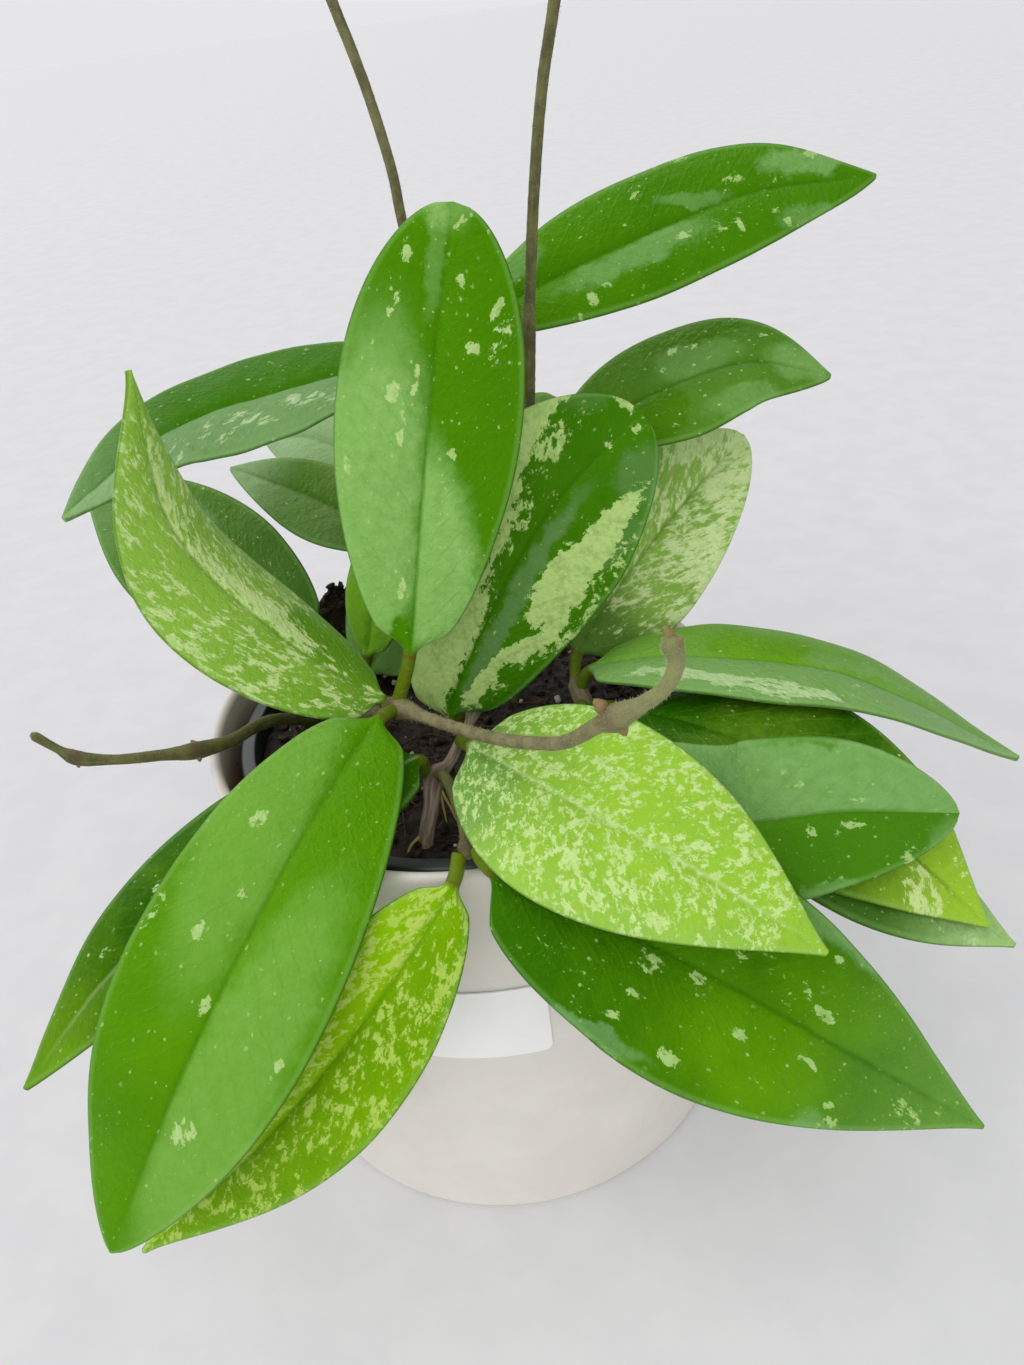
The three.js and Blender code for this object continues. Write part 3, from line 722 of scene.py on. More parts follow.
def makeSoilPieces(look):
    rng = np.random.default_rng(look["seed"])
    bark = soilMaterial("barkCrumb", *look["bark"])
    points, faces = scatterLumps(
        rng, look["chunks"], look["chunkSize"], (0.35, 0.9), 0.12, 0.1, look["onHeap"],
    )
    newPiece("bark_crumbs", points, faces, bark, flat=True)
    white = soilMaterial("perlite", *look["white"])
    points, faces = scatterLumps(rng, look["perlite"], look["perliteSize"], (0.7, 1.0), 0.3, 0.07)
    newPiece("perlite_bits", points, faces, white)
    brown = soilMaterial("coirFibre", *look["coir"])
    points, faces = scatterFibres(rng, look)
    newPiece("coir_fibres", points, faces, brown)


makeSoil(soilLook)
makeSoilPieces(soilLook)
print("potting mix made")


# Leaves

stalkRadius = 1.5
ribThickness = 1.6
marginThickness = 0.8
tipHalfWidth = 0.7
flareShare = 0.07
onMidrib = 2  # a patch this close to the midrib may cross it
veinSlant = 1.2  # how far a side vein climbs for each millimetre outwards
sheenEdge = 0.27  # how soft the edge of a patch of painted sheen is
leafSurface = {
    "IOR": 1.45, "Subsurface Weight": 0.12, "Subsurface Radius": (0.35, 1.0, 0.12),
    "Subsurface Scale": 0.0015,
}

leafShape = dict(turn=0, fold=0.12, cup=-0.1, wave=0.5, waves=1.5, widest=0.45, foot=0.62, tip=0.9)
leafDetail = dict(
    stalkRings=14, bladeRings=96, groove=0.4, grooveWidth=0.8, ridge=0.5, ridgeWidth=1.3, softFold=0.015,
    marginRound=0.55, swell=0.22, quilt=0.06, quiltGap=6.0, pillow=0.35, pillowHalf=15, seed=5,
)
# The pale wash from each leaf's sheen zones, patches and colour is painted sheen, standing in for reflected
# light on the glossy blade.
leafLook = dict(  # patches: across, along, half width, half length, turn in degrees, strength
    deep="#2f7208", bright="#56a01c", cream="#c3dba0", under="#8fae62", underDrift="#769849",
    underVein="#b2c986", stalkColour="#62720c", tones=dict(Base=0.5), tonePatches=(), clouds=0.9,
    splash=dict(Base=0.15), patches=(), size=0.9, stretch=1.8, slant=1.2, specks=0.5, crisp=0.02,
    clustering=0.4, sheen=dict(), sheenPatches=(), sheenColour="#8fc184", midrib=-0.5, roughness=0.36,
    fray=2.5, patchPower=0.7, gloss=0.24, glossTint=(0.7, 1.0, 0.1, 1.0), fleckShow=0.92, speckShow=0.8,
    # the pale green band near the margin is a painted highlight on the rounded edge
    paleRib="#cfe3a8", rimHighlight="#8fbf6a", margin="#3d5a1c", stalkDrift="#5f7a25", stalkSpeck="#6b5a34",
    joint="#6a4a28",
)
leaves = {
    "leaf_upright_centre": dict(
        stalk=(-13.6, -21.8, 134.8), rib=((-9, -21, 147), (-2, -12, 177), (5, -2, 205), (12, 6, 230)),
        width=38, face=(0.05, -0.9, 0.4), widest=0.52, tip=0.5,
        deep="#3d7c02", bright="#528e08", cream="#bcd88c", sheenColour="#92c26c",
        splash=dict(Base=0.08), slant=3.0, stretch=1.5, size=0.8, specks=0.6,
        patches=(
            (-7.5, 53.5, 1.4, 2.6, 8, 1.0), (-5.4, 48, 1.1, 3, 5, 0.8), (-5.4, 44.6, 0.8, 1.6, 0, 1.0),
            (-3.4, 54.5, 0.9, 1.6, 20, 0.8), (-3.2, 58.3, 0.6, 1.6, 5, 0.8), (-9, 70, 0.9, 2.8, 20, 0.85),
            (-7.6, 79, 1.4, 2, 0, 0.85), (-15.5, 38, 0.9, 2.8, -5, 0.7), (-2.8, 14.5, 0.7, 2.6, 5, 0.9),
            (5.2, 42.8, 1.1, 1.4, 0, 0.95), (7, 64, 1.8, 1.4, 20, 0.8), (12, 66, 4.5, 6, 0, 0.42),
            (11, 72, 1, 2.6, 25, 0.85), (9, 76, 1.2, 1.2, 0, 0.6), (3.5, 76, 1.5, 1.5, 0, 0.7),
            (1.8, 86, 1.4, 2.4, 20, 0.7), (-5, 90, 0.8, 2, 10, 0.7),
        ),
        sheenPatches=(
            (-11, 29, 12.5, 41, 0, 0.8), (4, 20, 9.5, 28, -14, 0.82), (-1, 92, 6, 7, 0, 0.45),
            (-2, 80, 2, 12, 0, 0.3), (-2.5, 2, 3, 6, 0, -0.7),
        ),
    ),
    "leaf_small_bright": dict(
        stalk=(-28, 12, 117.5), rib=((-23, 11.5, 128), (-19, 13, 141), (-15, 16, 153), (-13, 20, 166)),
        width=17, face=(-0.4, -0.9, 0.2),
        deep="#5c9410", bright="#7cb230", sheenColour="#8fc06c",
        splash=dict(Base=0.05), specks=0.1,
        sheen=dict(Tip=0.3),
    ),
    "leaf_behind_centre": dict(
        stalk=(-28, 14, 115), rib=((-25, 17, 118.5), (-12, 33, 131), (9, 49, 150), (33, 61, 170)),
        width=34, face=(0.2, -0.85, 0.5), tip=0.5,
        deep="#6a9c3c", bright="#82b256", sheenColour="#8fb078",
        splash=dict(Base=0.1), specks=0.1,
        sheen=dict(Base=0.3),
    ),
    "leaf_cream_patched": dict(
        stalk=(1, -9, 121), rib=((-3, -13, 124), (9, -8, 147), (25, 1, 166), (48, 14, 181)),
        width=44, face=(0.1, -0.85, 0.5), widest=0.6, tip=0.5,
        deep="#2f6a02", bright="#46840c", cream="#bdd886", sheenColour="#648c52",
        splash=dict(Base=0.12), slant=2.2, stretch=1.5, size=0.85, specks=0.5, clustering=0.35, fray=3.6,
        patchPower=1.0,
        patches=(
            (-11, 15, 11.5, 23, 0, 1.0), (-16, 42, 11, 20, 0, 1.0), (-19.5, 63, 7.2, 15, 0, 1.0),
            (11, 40, 5.3, 12, 0, 1.0), (12.8, 56, 3.4, 15, -3, 1.0), (5, 12, 1.8, 8, 13, 1.0),
            (10.4, 23, 1.9, 7, 40, 1.0), (14.6, 30, 1.6, 4, 12, 0.9), (18.6, 46, 3, 24, 0, 0.32),
            (-4.5, 50, 2.4, 14, -8, 0.26), (-9, 66, 3, 9, -12, 0.32), (-2, 30, 1.6, 12, 0, 0.2),
            (-4, 83, 4, 2.5, 0, 0.42), (13, 24, 3.5, 8, 41, 0.3), (6, 9, 3.4, 10, 30, 0.28),
            (-8, 85, 3, 3, 0, 0.5), (0, 73, 1.1, 1.1, 0, 0.8), (2, 80, 0.9, 1.2, 0, 0.8),
            (17, 76, 2.5, 3, 0, 0.4), (3, 50, 2.6, 30, 0, -0.16), (-2, 72, 4, 8, 0, -0.12),
        ),
        sheenPatches=(
            (3.4, 30, 2.5, 34, 0, 0.8), (11, 74, 8, 8, 0, 0.55), (16.5, 58, 3, 10, 0, 0.5),
            (-12, 78, 5, 8, 10, 0.3),
        ),
    ),
    "leaf_back_streaked": dict(
        stalk=(27.3, -2.3, 121.8), rib=((29, 6, 124), (42, 17, 136), (59, 30, 148), (79, 44, 160)),
        width=37, face=(0.1, -0.85, 0.5), tip=0.55,
        deep="#557f2a", bright="#92bf4a", cream="#d8e8ae", sheenColour="#a2c07c",
        splash=dict(Base=0.55, Foot=-0.44, Tip=0.1, RightRim=0.06), crisp=0.07, slant=2.0, stretch=2.6,
        size=0.85, specks=0.5,
        sheen=dict(Base=0.12, Tip=0.3),
        tones=dict(Base=0.8, Foot=-1.2),
    ),
    "leaf_upper_right": dict(
        stalk=(24, 20.5, 169.3), rib=((31, 25, 171), (54, 32, 178), (76, 32, 183), (96, 30, 178)),
        width=30, face=(0, -0.6, 0.8),
        deep="#366a02", bright="#508410", sheenColour="#8fbc72",
        splash=dict(Base=0.12), slant=2.0, stretch=1.5, size=0.75, specks=0.6,
        patches=(
            (-8, 33, 1, 1.4, 0, 0.7), (-7, 38, 1.2, 1.2, 0, 0.6), (-3, 40, 1.4, 1, 0, 0.6),
            (-12, 47, 1.2, 1, 0, 0.6), (-4, 30, 1, 1.2, 0, 0.6),
        ),
        sheen=dict(Base=0.1),
        sheenPatches=(
            (-4, 37, 5, 11, 0, 0.3), (-1, 60, 5, 8, 0, 0.4), (-14, 57, 4, 8, 0, 0.3),
            (10, 48, 4, 14, 0, 0.3), (-12, 38, 5, 10, 0, -0.25), (5, 22, 8, 10, 0, -0.3),
        ),
    ),
    "leaf_top_right": dict(
        stalk=(4.5, 28.6, 195.3), rib=((14, 30, 200.5), (45, 34, 211), (82, 44, 218), (110, 50, 217)),
        width=29, face=(0, -0.75, 0.65),
        deep="#346e02", bright="#4e8a06", cream="#aece80", sheenColour="#90bd78",
        splash=dict(Base=0.1), slant=2.0, stretch=1.6, size=0.8, specks=0.6,
        patches=(
            (-16.5, 32, 1.5, 2.8, 20, 0.75), (9, 25, 2.2, 1.6, 0, 0.75), (12, 20, 2.4, 1.4, 30, 0.7),
            (7.5, 29, 1.6, 1.2, 0, 0.7), (4, 60, 4, 4.5, 0, 0.42), (7, 63, 1.8, 1.2, 0, 0.7),
            (4, 50, 1, 3, 10, 0.7), (-14, 57, 1.8, 4, 35, 0.75), (-19, 69, 1.5, 1.5, 0, 0.6),
            (6, 73, 1, 2.2, 0, 0.75), (-7, 86, 1, 2.2, 0, 0.6), (9, 75, 1.2, 1.4, 0, 0.6),
            (-9, 44, 2, 1.6, 20, 0.6), (-4, 66, 1.4, 3, 10, 0.55),
        ),
        sheenPatches=(
            (3.5, 38, 3.5, 20, 0, 0.4), (-8, 14, 5, 6, 0, 0.4), (-5, 84, 3.5, 12, 0, 0.5),
            (-3, 56, 2, 9, 15, 0.3), (8, 82, 3, 10, 0, 0.3),
        ),
    ),
    "leaf_upper_left": dict(
        stalk=(1.5, 27.5, 195), rib=((-5, 26, 195), (-29, 25, 192), (-57, 18, 188), (-77, -5, 180)),
        width=32, face=(0, -0.33, 0.95),
        deep="#3a7008", bright="#4f8422", cream="#bdd6a4", sheenColour="#8fb27c",
        splash=dict(Base=0.12), slant=3.5, stretch=3.0, size=0.8, specks=0.6, gloss=0.04,
        patches=((-8, 32, 5, 32, 0, 0.42), (-8, 73, 5, 10, 0, 0.25), (17, 28, 1.2, 1.6, 0, 0.8)),
        sheen=dict(Left=0.6, Tip=0.5),
        tones=dict(Base=0.5, Right=-0.35),
    ),
    "leaf_left_long": dict(
        stalk=(-15.5, -20.8, 134),
        rib=((-17, -20.3, 135.2), (-37, -18, 154), (-54, -10, 176), (-57, 2, 207)),
        width=38, face=(0.8, -0.25, 0.5), fold=-0.05, foot=0.75, tip=1.3,
        deep="#649620", bright="#94c244", cream="#cce29c", sheenColour="#9cc27c",
        splash=dict(Base=0.45, RightRib=0.14), slant=3.2, stretch=2.4, size=0.72, specks=0.6,
        clustering=0.25,
        patches=(
            (-4, 47, 3.5, 14, 0, -0.3), (4, 28, 2.4, 20, 0, 0.25), (0, 88, 12, 8, 0, -0.4),
            (9, 9, 9, 16, 0, -0.5),
        ),
        sheen=dict(Base=0.06, RightRim=0.36, Foot=-0.3),
        tones=dict(Base=0.8, Foot=-0.6),
        tonePatches=((9, 11, 10, 18, 0, -1.2),),
    ),
    "leaf_left_broad": dict(
        stalk=(-29.5, 14, 117.5),
        rib=((-37, 17, 130), (-56, 30, 142), (-76.5, 45, 153.5), (-94, 57, 164)),
        width=38, face=(0.1, -0.8, 0.6),
        deep="#366210", bright="#4c7a1e", sheenColour="#86aa74",
        splash=dict(Base=0.08), specks=0.2,
        patches=((8, 45, 4, 5, 0, 0.2),),
        sheen=dict(Base=0.12, Tip=0.4),
        sheenPatches=((8, 46, 5, 8, 0, 0.35),),
    ),
    "leaf_back_left": dict(
        stalk=(-6, 26, 150.5), rib=((-12, 30, 150), (-25, 39, 154), (-40, 50, 158), (-56, 59, 162)),
        width=22, face=(0, -0.7, 0.7),
        deep="#3d6a16", bright="#568030", sheenColour="#98b886",
        splash=dict(Base=0.03), specks=0.05,
        sheen=dict(Left=0.15, Tip=0.8),
    ),
    "leaf_back_pale": dict(
        stalk=(-4.5, 26, 152.5), rib=((-6, 39, 159), (-21, 58, 161), (-37, 74, 162.5), (-51, 87, 158.5)),
        width=25, face=(0, -0.7, 0.7),
        deep="#759b5f", bright="#93b37e",
        splash=dict(Base=0.1), specks=0.1,
    ),
    "leaf_right_arched": dict(
        stalk=(28.3, -4.3, 121.5),
        rib=((31, -5, 126), (57, -14, 131.5), (88, -22, 126.5), (124, -32, 106)),
        width=35, face=(0, 0.1, 1),
        deep="#528a08", bright="#74ac1e", cream="#c3dca6", sheenColour="#8fb680",
        splash=dict(Base=0.1), slant=4.0, stretch=3.0, size=0.8, specks=0.5,
        patches=((12.6, 42, 3.4, 17, 3, 0.75), (9.5, 21, 3.2, 14, 6, 0.7), (11, 64, 2, 9, 0, 0.3)),
        sheen=dict(Left=0.15, Right=0.5, Tip=0.3),
        sheenPatches=((-6, 40, 7, 13, 0, -0.4), (-4, 60, 3, 18, 0, 0.2)),
    ),
    "leaf_right_lime": dict(
        stalk=(30.2, -5.8, 117), rib=((38, -20, 124), (58, -39, 126.5), (82, -57, 114.5), (102, -70, 96)),
        width=44, face=(0.2, -0.4, 0.9), turn=28, tip=1.1,
        deep="#2a6202", bright="#9ac434", cream="#d2e49a", sheenColour="#a8cc70",
        splash=dict(Base=0.05, Tip=0.2), slant=1.5, stretch=1.6, size=0.9, specks=0.5,
        patches=((5, 75, 5, 8, 20, 0.55), (11, 86, 3, 5, 0, 0.5), (-6, 78, 2, 4, 20, 0.3)),
        # the dark foot and middle (Base=0.16, Foot=-0.3) are partly painted shade where the blade passes
        # under the leaf above; the lime tip is the leaf's own colour
        tones=dict(Base=0.16, Foot=-0.3, Tip=1.0),
    ),
    "leaf_right_rounded": dict(
        stalk=(28, -8, 118.5),
        rib=((30, -38, 126.5), (49, -61, 125.5), (72, -63.5, 126), (95, -63.5, 122)),
        width=32, face=(0, -0.75, 0.65), tip=0.6,
        deep="#3b7802", bright="#488406", cream="#aece80", sheenColour="#84b46a",
        splash=dict(Base=0.12), slant=2.5, stretch=1.6, size=0.75, specks=0.6,
        patches=(
            (3, 47, 0.7, 1.8, 45, 0.8), (2.5, 55, 0.8, 3.2, 0, 0.8), (4, 52, 0.7, 1.2, 0, 0.7),
            (9, 66, 1.5, 2, 40, 0.6), (-6, 46, 1, 1.1, 0, 0.7), (-9, 44, 1, 1.5, 0, 0.6),
            (-2.5, 57, 1, 2.2, 0, 0.6),
        ),
        sheen=dict(Left=0.8, Right=0.04, Foot=0.2),
        sheenPatches=(
            (-16.5, 53, 3.5, 15, 0, -0.6), (-14, 69, 4, 6, 0, -0.4), (7, 75, 7, 5, 0, 0.35),
            (14.5, 52, 1.5, 22, 0, 0.4),
        ),
    ),
    "leaf_right_lowest": dict(
        stalk=(29.5, -8, 114), rib=((36, -33, 122), (61, -52, 117), (86, -63, 104.5), (109, -69, 88)),
        width=27, face=(0.2, -0.4, 0.9), turn=15, widest=0.55, foot=1.2, tip=1.1,
        deep="#285c02", bright="#3a7008", sheenColour="#a6cc80",
        splash=dict(Base=0.16), slant=2.5, stretch=1.5, size=0.8, specks=0.7, gloss=0.12,
        patches=((2, 68, 2.2, 3.4, 30, 0.85), (5, 80, 2, 3, 0, 0.5)),
        sheen=dict(RightRim=0.08, Tip=0.95),
    ),
    "leaf_front_speckled": dict(
        stalk=(-1, -24.5, 124.5), rib=((2, -38, 133), (19, -62, 137), (40, -81, 133), (60, -93, 121.5)),
        width=39, face=(0.1, -0.7, 0.7), widest=0.38, tip=1.1,
        deep="#6a9a3a", bright="#96c62c", cream="#cbe49a", sheenColour="#b2d48c",
        splash=dict(Base=0.47, RightRim=-0.04, Tip=-0.04), specks=1.0, slant=1.2, stretch=1.3, size=0.74,
        midrib=0.3, clustering=0.22,
        patches=(
            (-5, 50, 3.5, 6, 0, -0.16), (0, 80, 4, 5, 0, -0.3), (-12, 32, 3, 4, 0, -0.16),
            (12, 45, 4, 20, 0, 0.06),
        ),
        sheen=dict(Base=0.08, RightRim=0.1),
        tones=dict(Base=0.9, Foot=-0.6),
        tonePatches=((9, 13, 10, 14, 0, -0.5),),
    ),
    "leaf_front_right": dict(
        stalk=(1, -61.5, 126), rib=((4, -66, 124), (31, -80, 115), (60, -91, 97), (92, -98, 72)),
        width=44, face=(0.2, -0.8, 0.6), tip=1.1,
        deep="#306a02", bright="#5c9604", cream="#aece80", sheenColour="#8ab67a",
        splash=dict(Base=0.13), slant=3.5, stretch=1.7, size=0.75, specks=0.8,
        patches=(
            (3, 34, 2.4, 3, 0, 0.5), (1.5, 43, 1.1, 2.1, 0, 0.75), (-6, 48, 0.9, 1.5, 0, 0.65),
            (9.5, 33.5, 0.9, 2, 0, 0.75), (14.5, 31, 1.2, 2.2, 0, 0.65), (16.5, 44, 1.2, 3, 10, 0.8),
            (6.5, 54, 1.1, 2.4, 10, 0.8), (-4, 67, 1.2, 3.4, 10, 0.85), (-6.5, 62, 1, 2.2, 40, 0.75),
            (-14, 66, 0.9, 2.2, 20, 0.6), (5, 68, 0.9, 2.6, 10, 0.75), (12.5, 77, 1.2, 1.7, 0, 0.65),
            (10, 75, 0.9, 1.3, 0, 0.65), (5, 92, 3, 4, 0, 0.4),
        ),
        sheen=dict(Tip=0.2),
        sheenPatches=((-19, 74, 4, 22, 0, 0.45), (19, 28, 2, 14, 0, 0.4), (16, 75, 4, 5, 0, 0.35)),
        # Foot=-0.6 darkens the blade's foot as painted shadow cast by leaf_front_speckled
        tones=dict(Base=0.3, Foot=-0.6, Tip=0.4),
        tonePatches=((8, 60, 14, 18, 0, 0.5), (-6, 68, 8, 14, 0, 0.3)),
    ),
    "leaf_front_trailing": dict(
        stalk=(-2.2, -61.5, 125.2), rib=((-4, -66, 122), (-21, -79, 106), (-46, -90, 84), (-76, -95, 59)),
        width=31, face=(-0.1, -0.8, 0.6), widest=0.5, foot=0.75, tip=1.2,
        deep="#5c9002", bright="#84b408", cream="#b6d062", sheenColour="#b4d678",
        splash=dict(Base=0.42, Right=0.1, Tip=0.04), slant=2.4, stretch=1.6, size=0.8, specks=0.9,
        tones=dict(Base=0.45, Right=0.5), crisp=0.03, clustering=0.25,
        patches=((-7, 35, 6, 28, 0, 0.06), (12, 16, 4, 18, 0, -0.2), (0, 30, 1.4, 40, 0, -0.12)),
    ),
    "leaf_front_left": dict(
        stalk=(-14.2, -23.6, 134.6),
        rib=((-17, -30, 137), (-34, -58.5, 128.5), (-55, -87, 107), (-75, -104, 76)),
        width=42, face=(-0.1, -0.7, 0.7), widest=0.54, tip=0.75,
        deep="#417c02", bright="#5e9a08", cream="#b6d48a", sheenColour="#7eb24c",
        splash=dict(Base=0.08), slant=2.5, stretch=1.5, size=0.8, specks=0.5,
        patches=(
            (9, 32, 1.6, 2.6, 10, 0.7), (9, 55, 1.3, 2.2, 0, 0.8), (19, 55, 1.2, 5, 5, 0.5),
            (1.5, 67, 1.1, 2.2, 0, 0.8), (5, 46, 1, 1.5, 0, 0.6), (-5, 88, 3, 3.4, 0, 0.8),
            (-16, 70, 1, 1.6, 0, 0.6), (10, 105, 1, 1.4, 0, 0.6),
        ),
        sheenPatches=((10, 30, 11, 40, -6, 0.62), (-9, 76, 10, 42, 3, 0.72)),
    ),
    "leaf_low_left": dict(
        stalk=(-9.3, -32.5, 123.5),
        rib=((-10, -35.5, 129), (-38, -52, 127), (-70, -61, 110), (-100, -70, 82)),
        width=30, face=(-0.2, -0.5, 0.85), tip=1,
        deep="#2c5e02", bright="#74a80c", sheenColour="#a4cc74",
        splash=dict(Base=0.07), slant=2.5, stretch=1.6, size=0.8, specks=0.55, gloss=0.1, midrib=0.2,
        patches=((3, 77, 2.6, 4, 0, 0.5), (7, 60, 2, 3, 0, 0.5)),
        tones=dict(Base=0.05, Tip=0.6),
    ),
}


def bladeHalfWidth(leaf, s):
    if s < leaf["widest"]:
        outline = math.sin(math.pi / 2 * s / leaf["widest"]) ** leaf["foot"]
    else:
        outline = max(0.0, math.cos(math.pi / 2 * (s - leaf["widest"]) / (1 - leaf["widest"]))) ** leaf["tip"]
    least = stalkRadius + (tipHalfWidth - stalkRadius) * s
    return least + (leaf["width"] / 2 - least) * outline


def bladeColumns(half):  # places across the blade, closer together at the midrib and the margins
    shrink = min(1.0, half / 9)
    inner = np.array([0, 0.3, 0.7, 1.3, 2.2]) * shrink
    outer = half - np.array([1.8, 0.9, 0.4, 0.12, 0]) * shrink
    between = np.linspace(inner[-1], outer[0], 8)[1:-1]
    one = np.concatenate([inner, between, outer])
    return np.concatenate([-one[:0:-1], one])


def leafRing(leaf, detail, waves, middle, heading, s, along, flatness):
    side = normed(np.cross(heading, np.array(leaf["face"], float)))
    twist = Matrix.Rotation(math.radians(leaf["turn"] * (s - 0.5)), 3, Vector(heading))
    side = np.array(twist @ Vector(side))
    normal = np.cross(side, heading)
    half = bladeHalfWidth(leaf, s)
    d = bladeColumns(half)
    a = d / half
    ripple = leaf["wave"] * math.sin(2 * math.pi * leaf["waves"] * s) * math.sin(math.pi * s)
    soft = detail["softFold"]
    folded = np.sqrt(a * a + soft * soft) - soft
    rise = half * (leaf["fold"] * folded + leaf["cup"] * a * a) + ripple * a * a
    rise = rise + 4 * detail["pillow"] * min(1, half / detail["pillowHalf"]) * folded * (1 - np.abs(a))
    for amount, kx, ky, phase in waves:
        rise = rise + amount * np.sin(kx * d + ky * along + phase) * min(1.0, 6 * s)
    vein = np.cos(2 * math.pi * (along - np.abs(d) * leaf["slant"]) / detail["quiltGap"])
    rise = rise + detail["quilt"] * vein * (1 - a * a)
    thick = marginThickness + (ribThickness - marginThickness) * (1 - a * a)
    fromEdge = np.clip((half - np.abs(d)) / detail["marginRound"], 0, 1)
    thick = thick * np.sqrt(np.maximum(0, 1 - (1 - fromEdge) ** 2))
    fade = min(1.0, s * 12) * min(1.0, (1 - s) * 4)
    groove = detail["groove"] * fade * np.exp(-((d / detail["grooveWidth"]) ** 2))
    ridge = detail["ridge"] * fade * np.exp(-((d / detail["ridgeWidth"]) ** 2))
    count = len(d)
    angles = math.pi * (1 - np.arange(count) / (count - 1))
    upper = np.stack([d, rise + thick / 2 - groove], 1)
    lower = np.stack([d, rise - thick / 2 - ridge], 1)
    roundUpper = stalkRadius * np.stack([np.cos(angles), np.sin(angles)], 1)
    roundLower = stalkRadius * np.stack([np.cos(angles), -np.sin(angles)], 1)
    upper = roundUpper + (upper - roundUpper) * flatness
    lower = (roundLower + (lower - roundLower) * flatness)[-2:0:-1]
    loop = np.concatenate([upper, lower])
    across = np.concatenate([d, d[-2:0:-1]])
    below = np.concatenate([np.zeros(count), np.ones(count - 2)])
    below[0] = below[count - 1] = 0.5
    points = middle + loop[:, :1] * side + loop[:, 1:] * normal
    places = np.stack([across, np.full_like(across, along), below], 1)
    shares = np.stack([across / half, np.full_like(across, s), np.full_like(across, half)], 1)
    return points, places, shares


def leafStations(detail, path):  # each ring's shares of blade and path, place, and length along
    foot = 1 / (len(path) - 1)
    u = np.linspace(0, 1, detail["bladeRings"])
    blade = 0.55 * u + 0.45 * (1 - np.cos(math.pi * u)) / 2
    turns = [foot * i / detail["stalkRings"] for i in range(detail["stalkRings"])]
    shares = [t / foot - 1 for t in turns] + list(blade)
    turns += [foot + (1 - foot) * s for s in blade]
    spots = np.array([pathPoint(path, t) for t in turns])
    lengths = np.concatenate([[0], np.cumsum(np.linalg.norm(np.diff(spots, axis=0), axis=1))])
    lengths -= lengths[detail["stalkRings"]]
    return zip(shares, turns, spots, lengths)


def makeLeafMesh(leaf, detail, rng):
    path = [np.array(p, float) for p in (leaf["stalk"], *leaf["rib"])]
    waves = [
        (detail["swell"] * rng.uniform(0.5, 1), k * math.cos(t), k * math.sin(t), rng.uniform(0, 6.28))
        for k, t in zip((0.16, 0.24, 0.35, 0.5), rng.uniform(0, math.pi, 4))
    ]
    waves = [(amount * 0.16 / math.hypot(kx, ky), kx, ky, phase) for amount, kx, ky, phase in waves]
    points, places, shares = [], [], []
    for s, turn, spot, along in leafStations(detail, path):
        flatness = smoothStep(min(1, max(0, s) / flareShare))
        ring = leafRing(leaf, detail, waves, spot, pathHeading(path, turn), max(0, s), along, flatness)
        if s < 0:
            ring[2][:, 1] = s
        points.append(ring[0])
        places.append(ring[1])
        shares.append(ring[2])
    count = len(points[0])
    faces = [face[::-1] for face in skinFaces(len(points), count)]
    return np.concatenate(points), faces, np.concatenate(places), np.concatenate(shares)


def field(tree, place, share, halves, zones, patches, power=1.0, edge=0.4):  # zones, and patches on top
    total = placed(tree, zoneGroup, Share=share, **zones)["Field"]
    for across, along, width, length, turn, strength in patches:
        patch = placed(
            tree, patchGroup, Place=place, Spot=(across, along, 0), Turn=(0, 0, math.radians(-turn)),
            Size=(width, length, 1), Strength=power * strength, Edge=edge,
        )["Field"]
        if abs(across) > onMidrib:
            patch = times(tree, patch, halves["Left" if across < 0 else "Right"])
        total = plus(tree, total, patch)
    return total


def fleckedColour(tree, leaf, seed, place, density, colour, fine, slow):  # cream flecks and specks on a blade
    flecks = placed(
        tree, splashGroup, Place=place, Density=density, Seed=seed, Size=float(leaf["size"]),
        Stretch=float(leaf["stretch"]), Slant=float(leaf["slant"]), Specks=leaf["specks"],
        Crispness=leaf["crisp"], Clustering=leaf["clustering"],
    )
    finely = spread(tree, fine, 0.3, 0.7, 0.0, 0.16)
    slowly = spread(tree, slow, 0.45, 0.65, 0.0, 0.22)
    worn = plus(tree, finely, slowly)
    fleckTone = blendColour(tree, worn, shade(leaf["cream"]), shade(leaf["bright"]))
    marks = calc(tree, "MAXIMUM", flecks["Mask"], times(tree, flecks["Specks"], leaf["speckShow"]))
    return blendColour(tree, times(tree, marks, leaf["fleckShow"]), colour, fleckTone)


def overlaid(tree, colour, layers):  # each layer: a mask, its strength and its colour
    for mask, strength, code in layers:
        colour = blendColour(tree, times(tree, mask, strength), colour, shade(code))
    return colour


def undersideColour(tree, leaf, lines, slow):
    drift = spread(tree, slow, 0.38, 0.62, 0.0, 0.6)
    pale = blendColour(tree, drift, shade(leaf["under"]), shade(leaf["underDrift"]))
    layers = ((lines["Veins"], 0.25, leaf["underVein"]), (lines["Rib"], 0.6, leaf["underVein"]))
    return overlaid(tree, pale, layers)


def stalkedColour(tree, leaf, place, s, colour):  # the stalk, and the brown joint where it meets the blade
    stalk = placed(
        tree, mottleGroup, Place=place, Colour=shade(leaf["stalkColour"]), Drift=shade(leaf["stalkDrift"]),
        DriftSize=5.0, Amount=0.6, GrainSize=0.6, SpeckSize=1.5, SpeckColour=shade(leaf["stalkSpeck"]),
        Specks=0.15,
    )
    colour = blendColour(tree, spread(tree, s, 0.03, -0.01), colour, stalk["Colour"])
    fromJoint = calc(tree, "ABSOLUTE", plus(tree, s, 0.03))
    return overlaid(tree, colour, [(spread(tree, fromJoint, 0.05, 0.01), 0.5, leaf["joint"])])


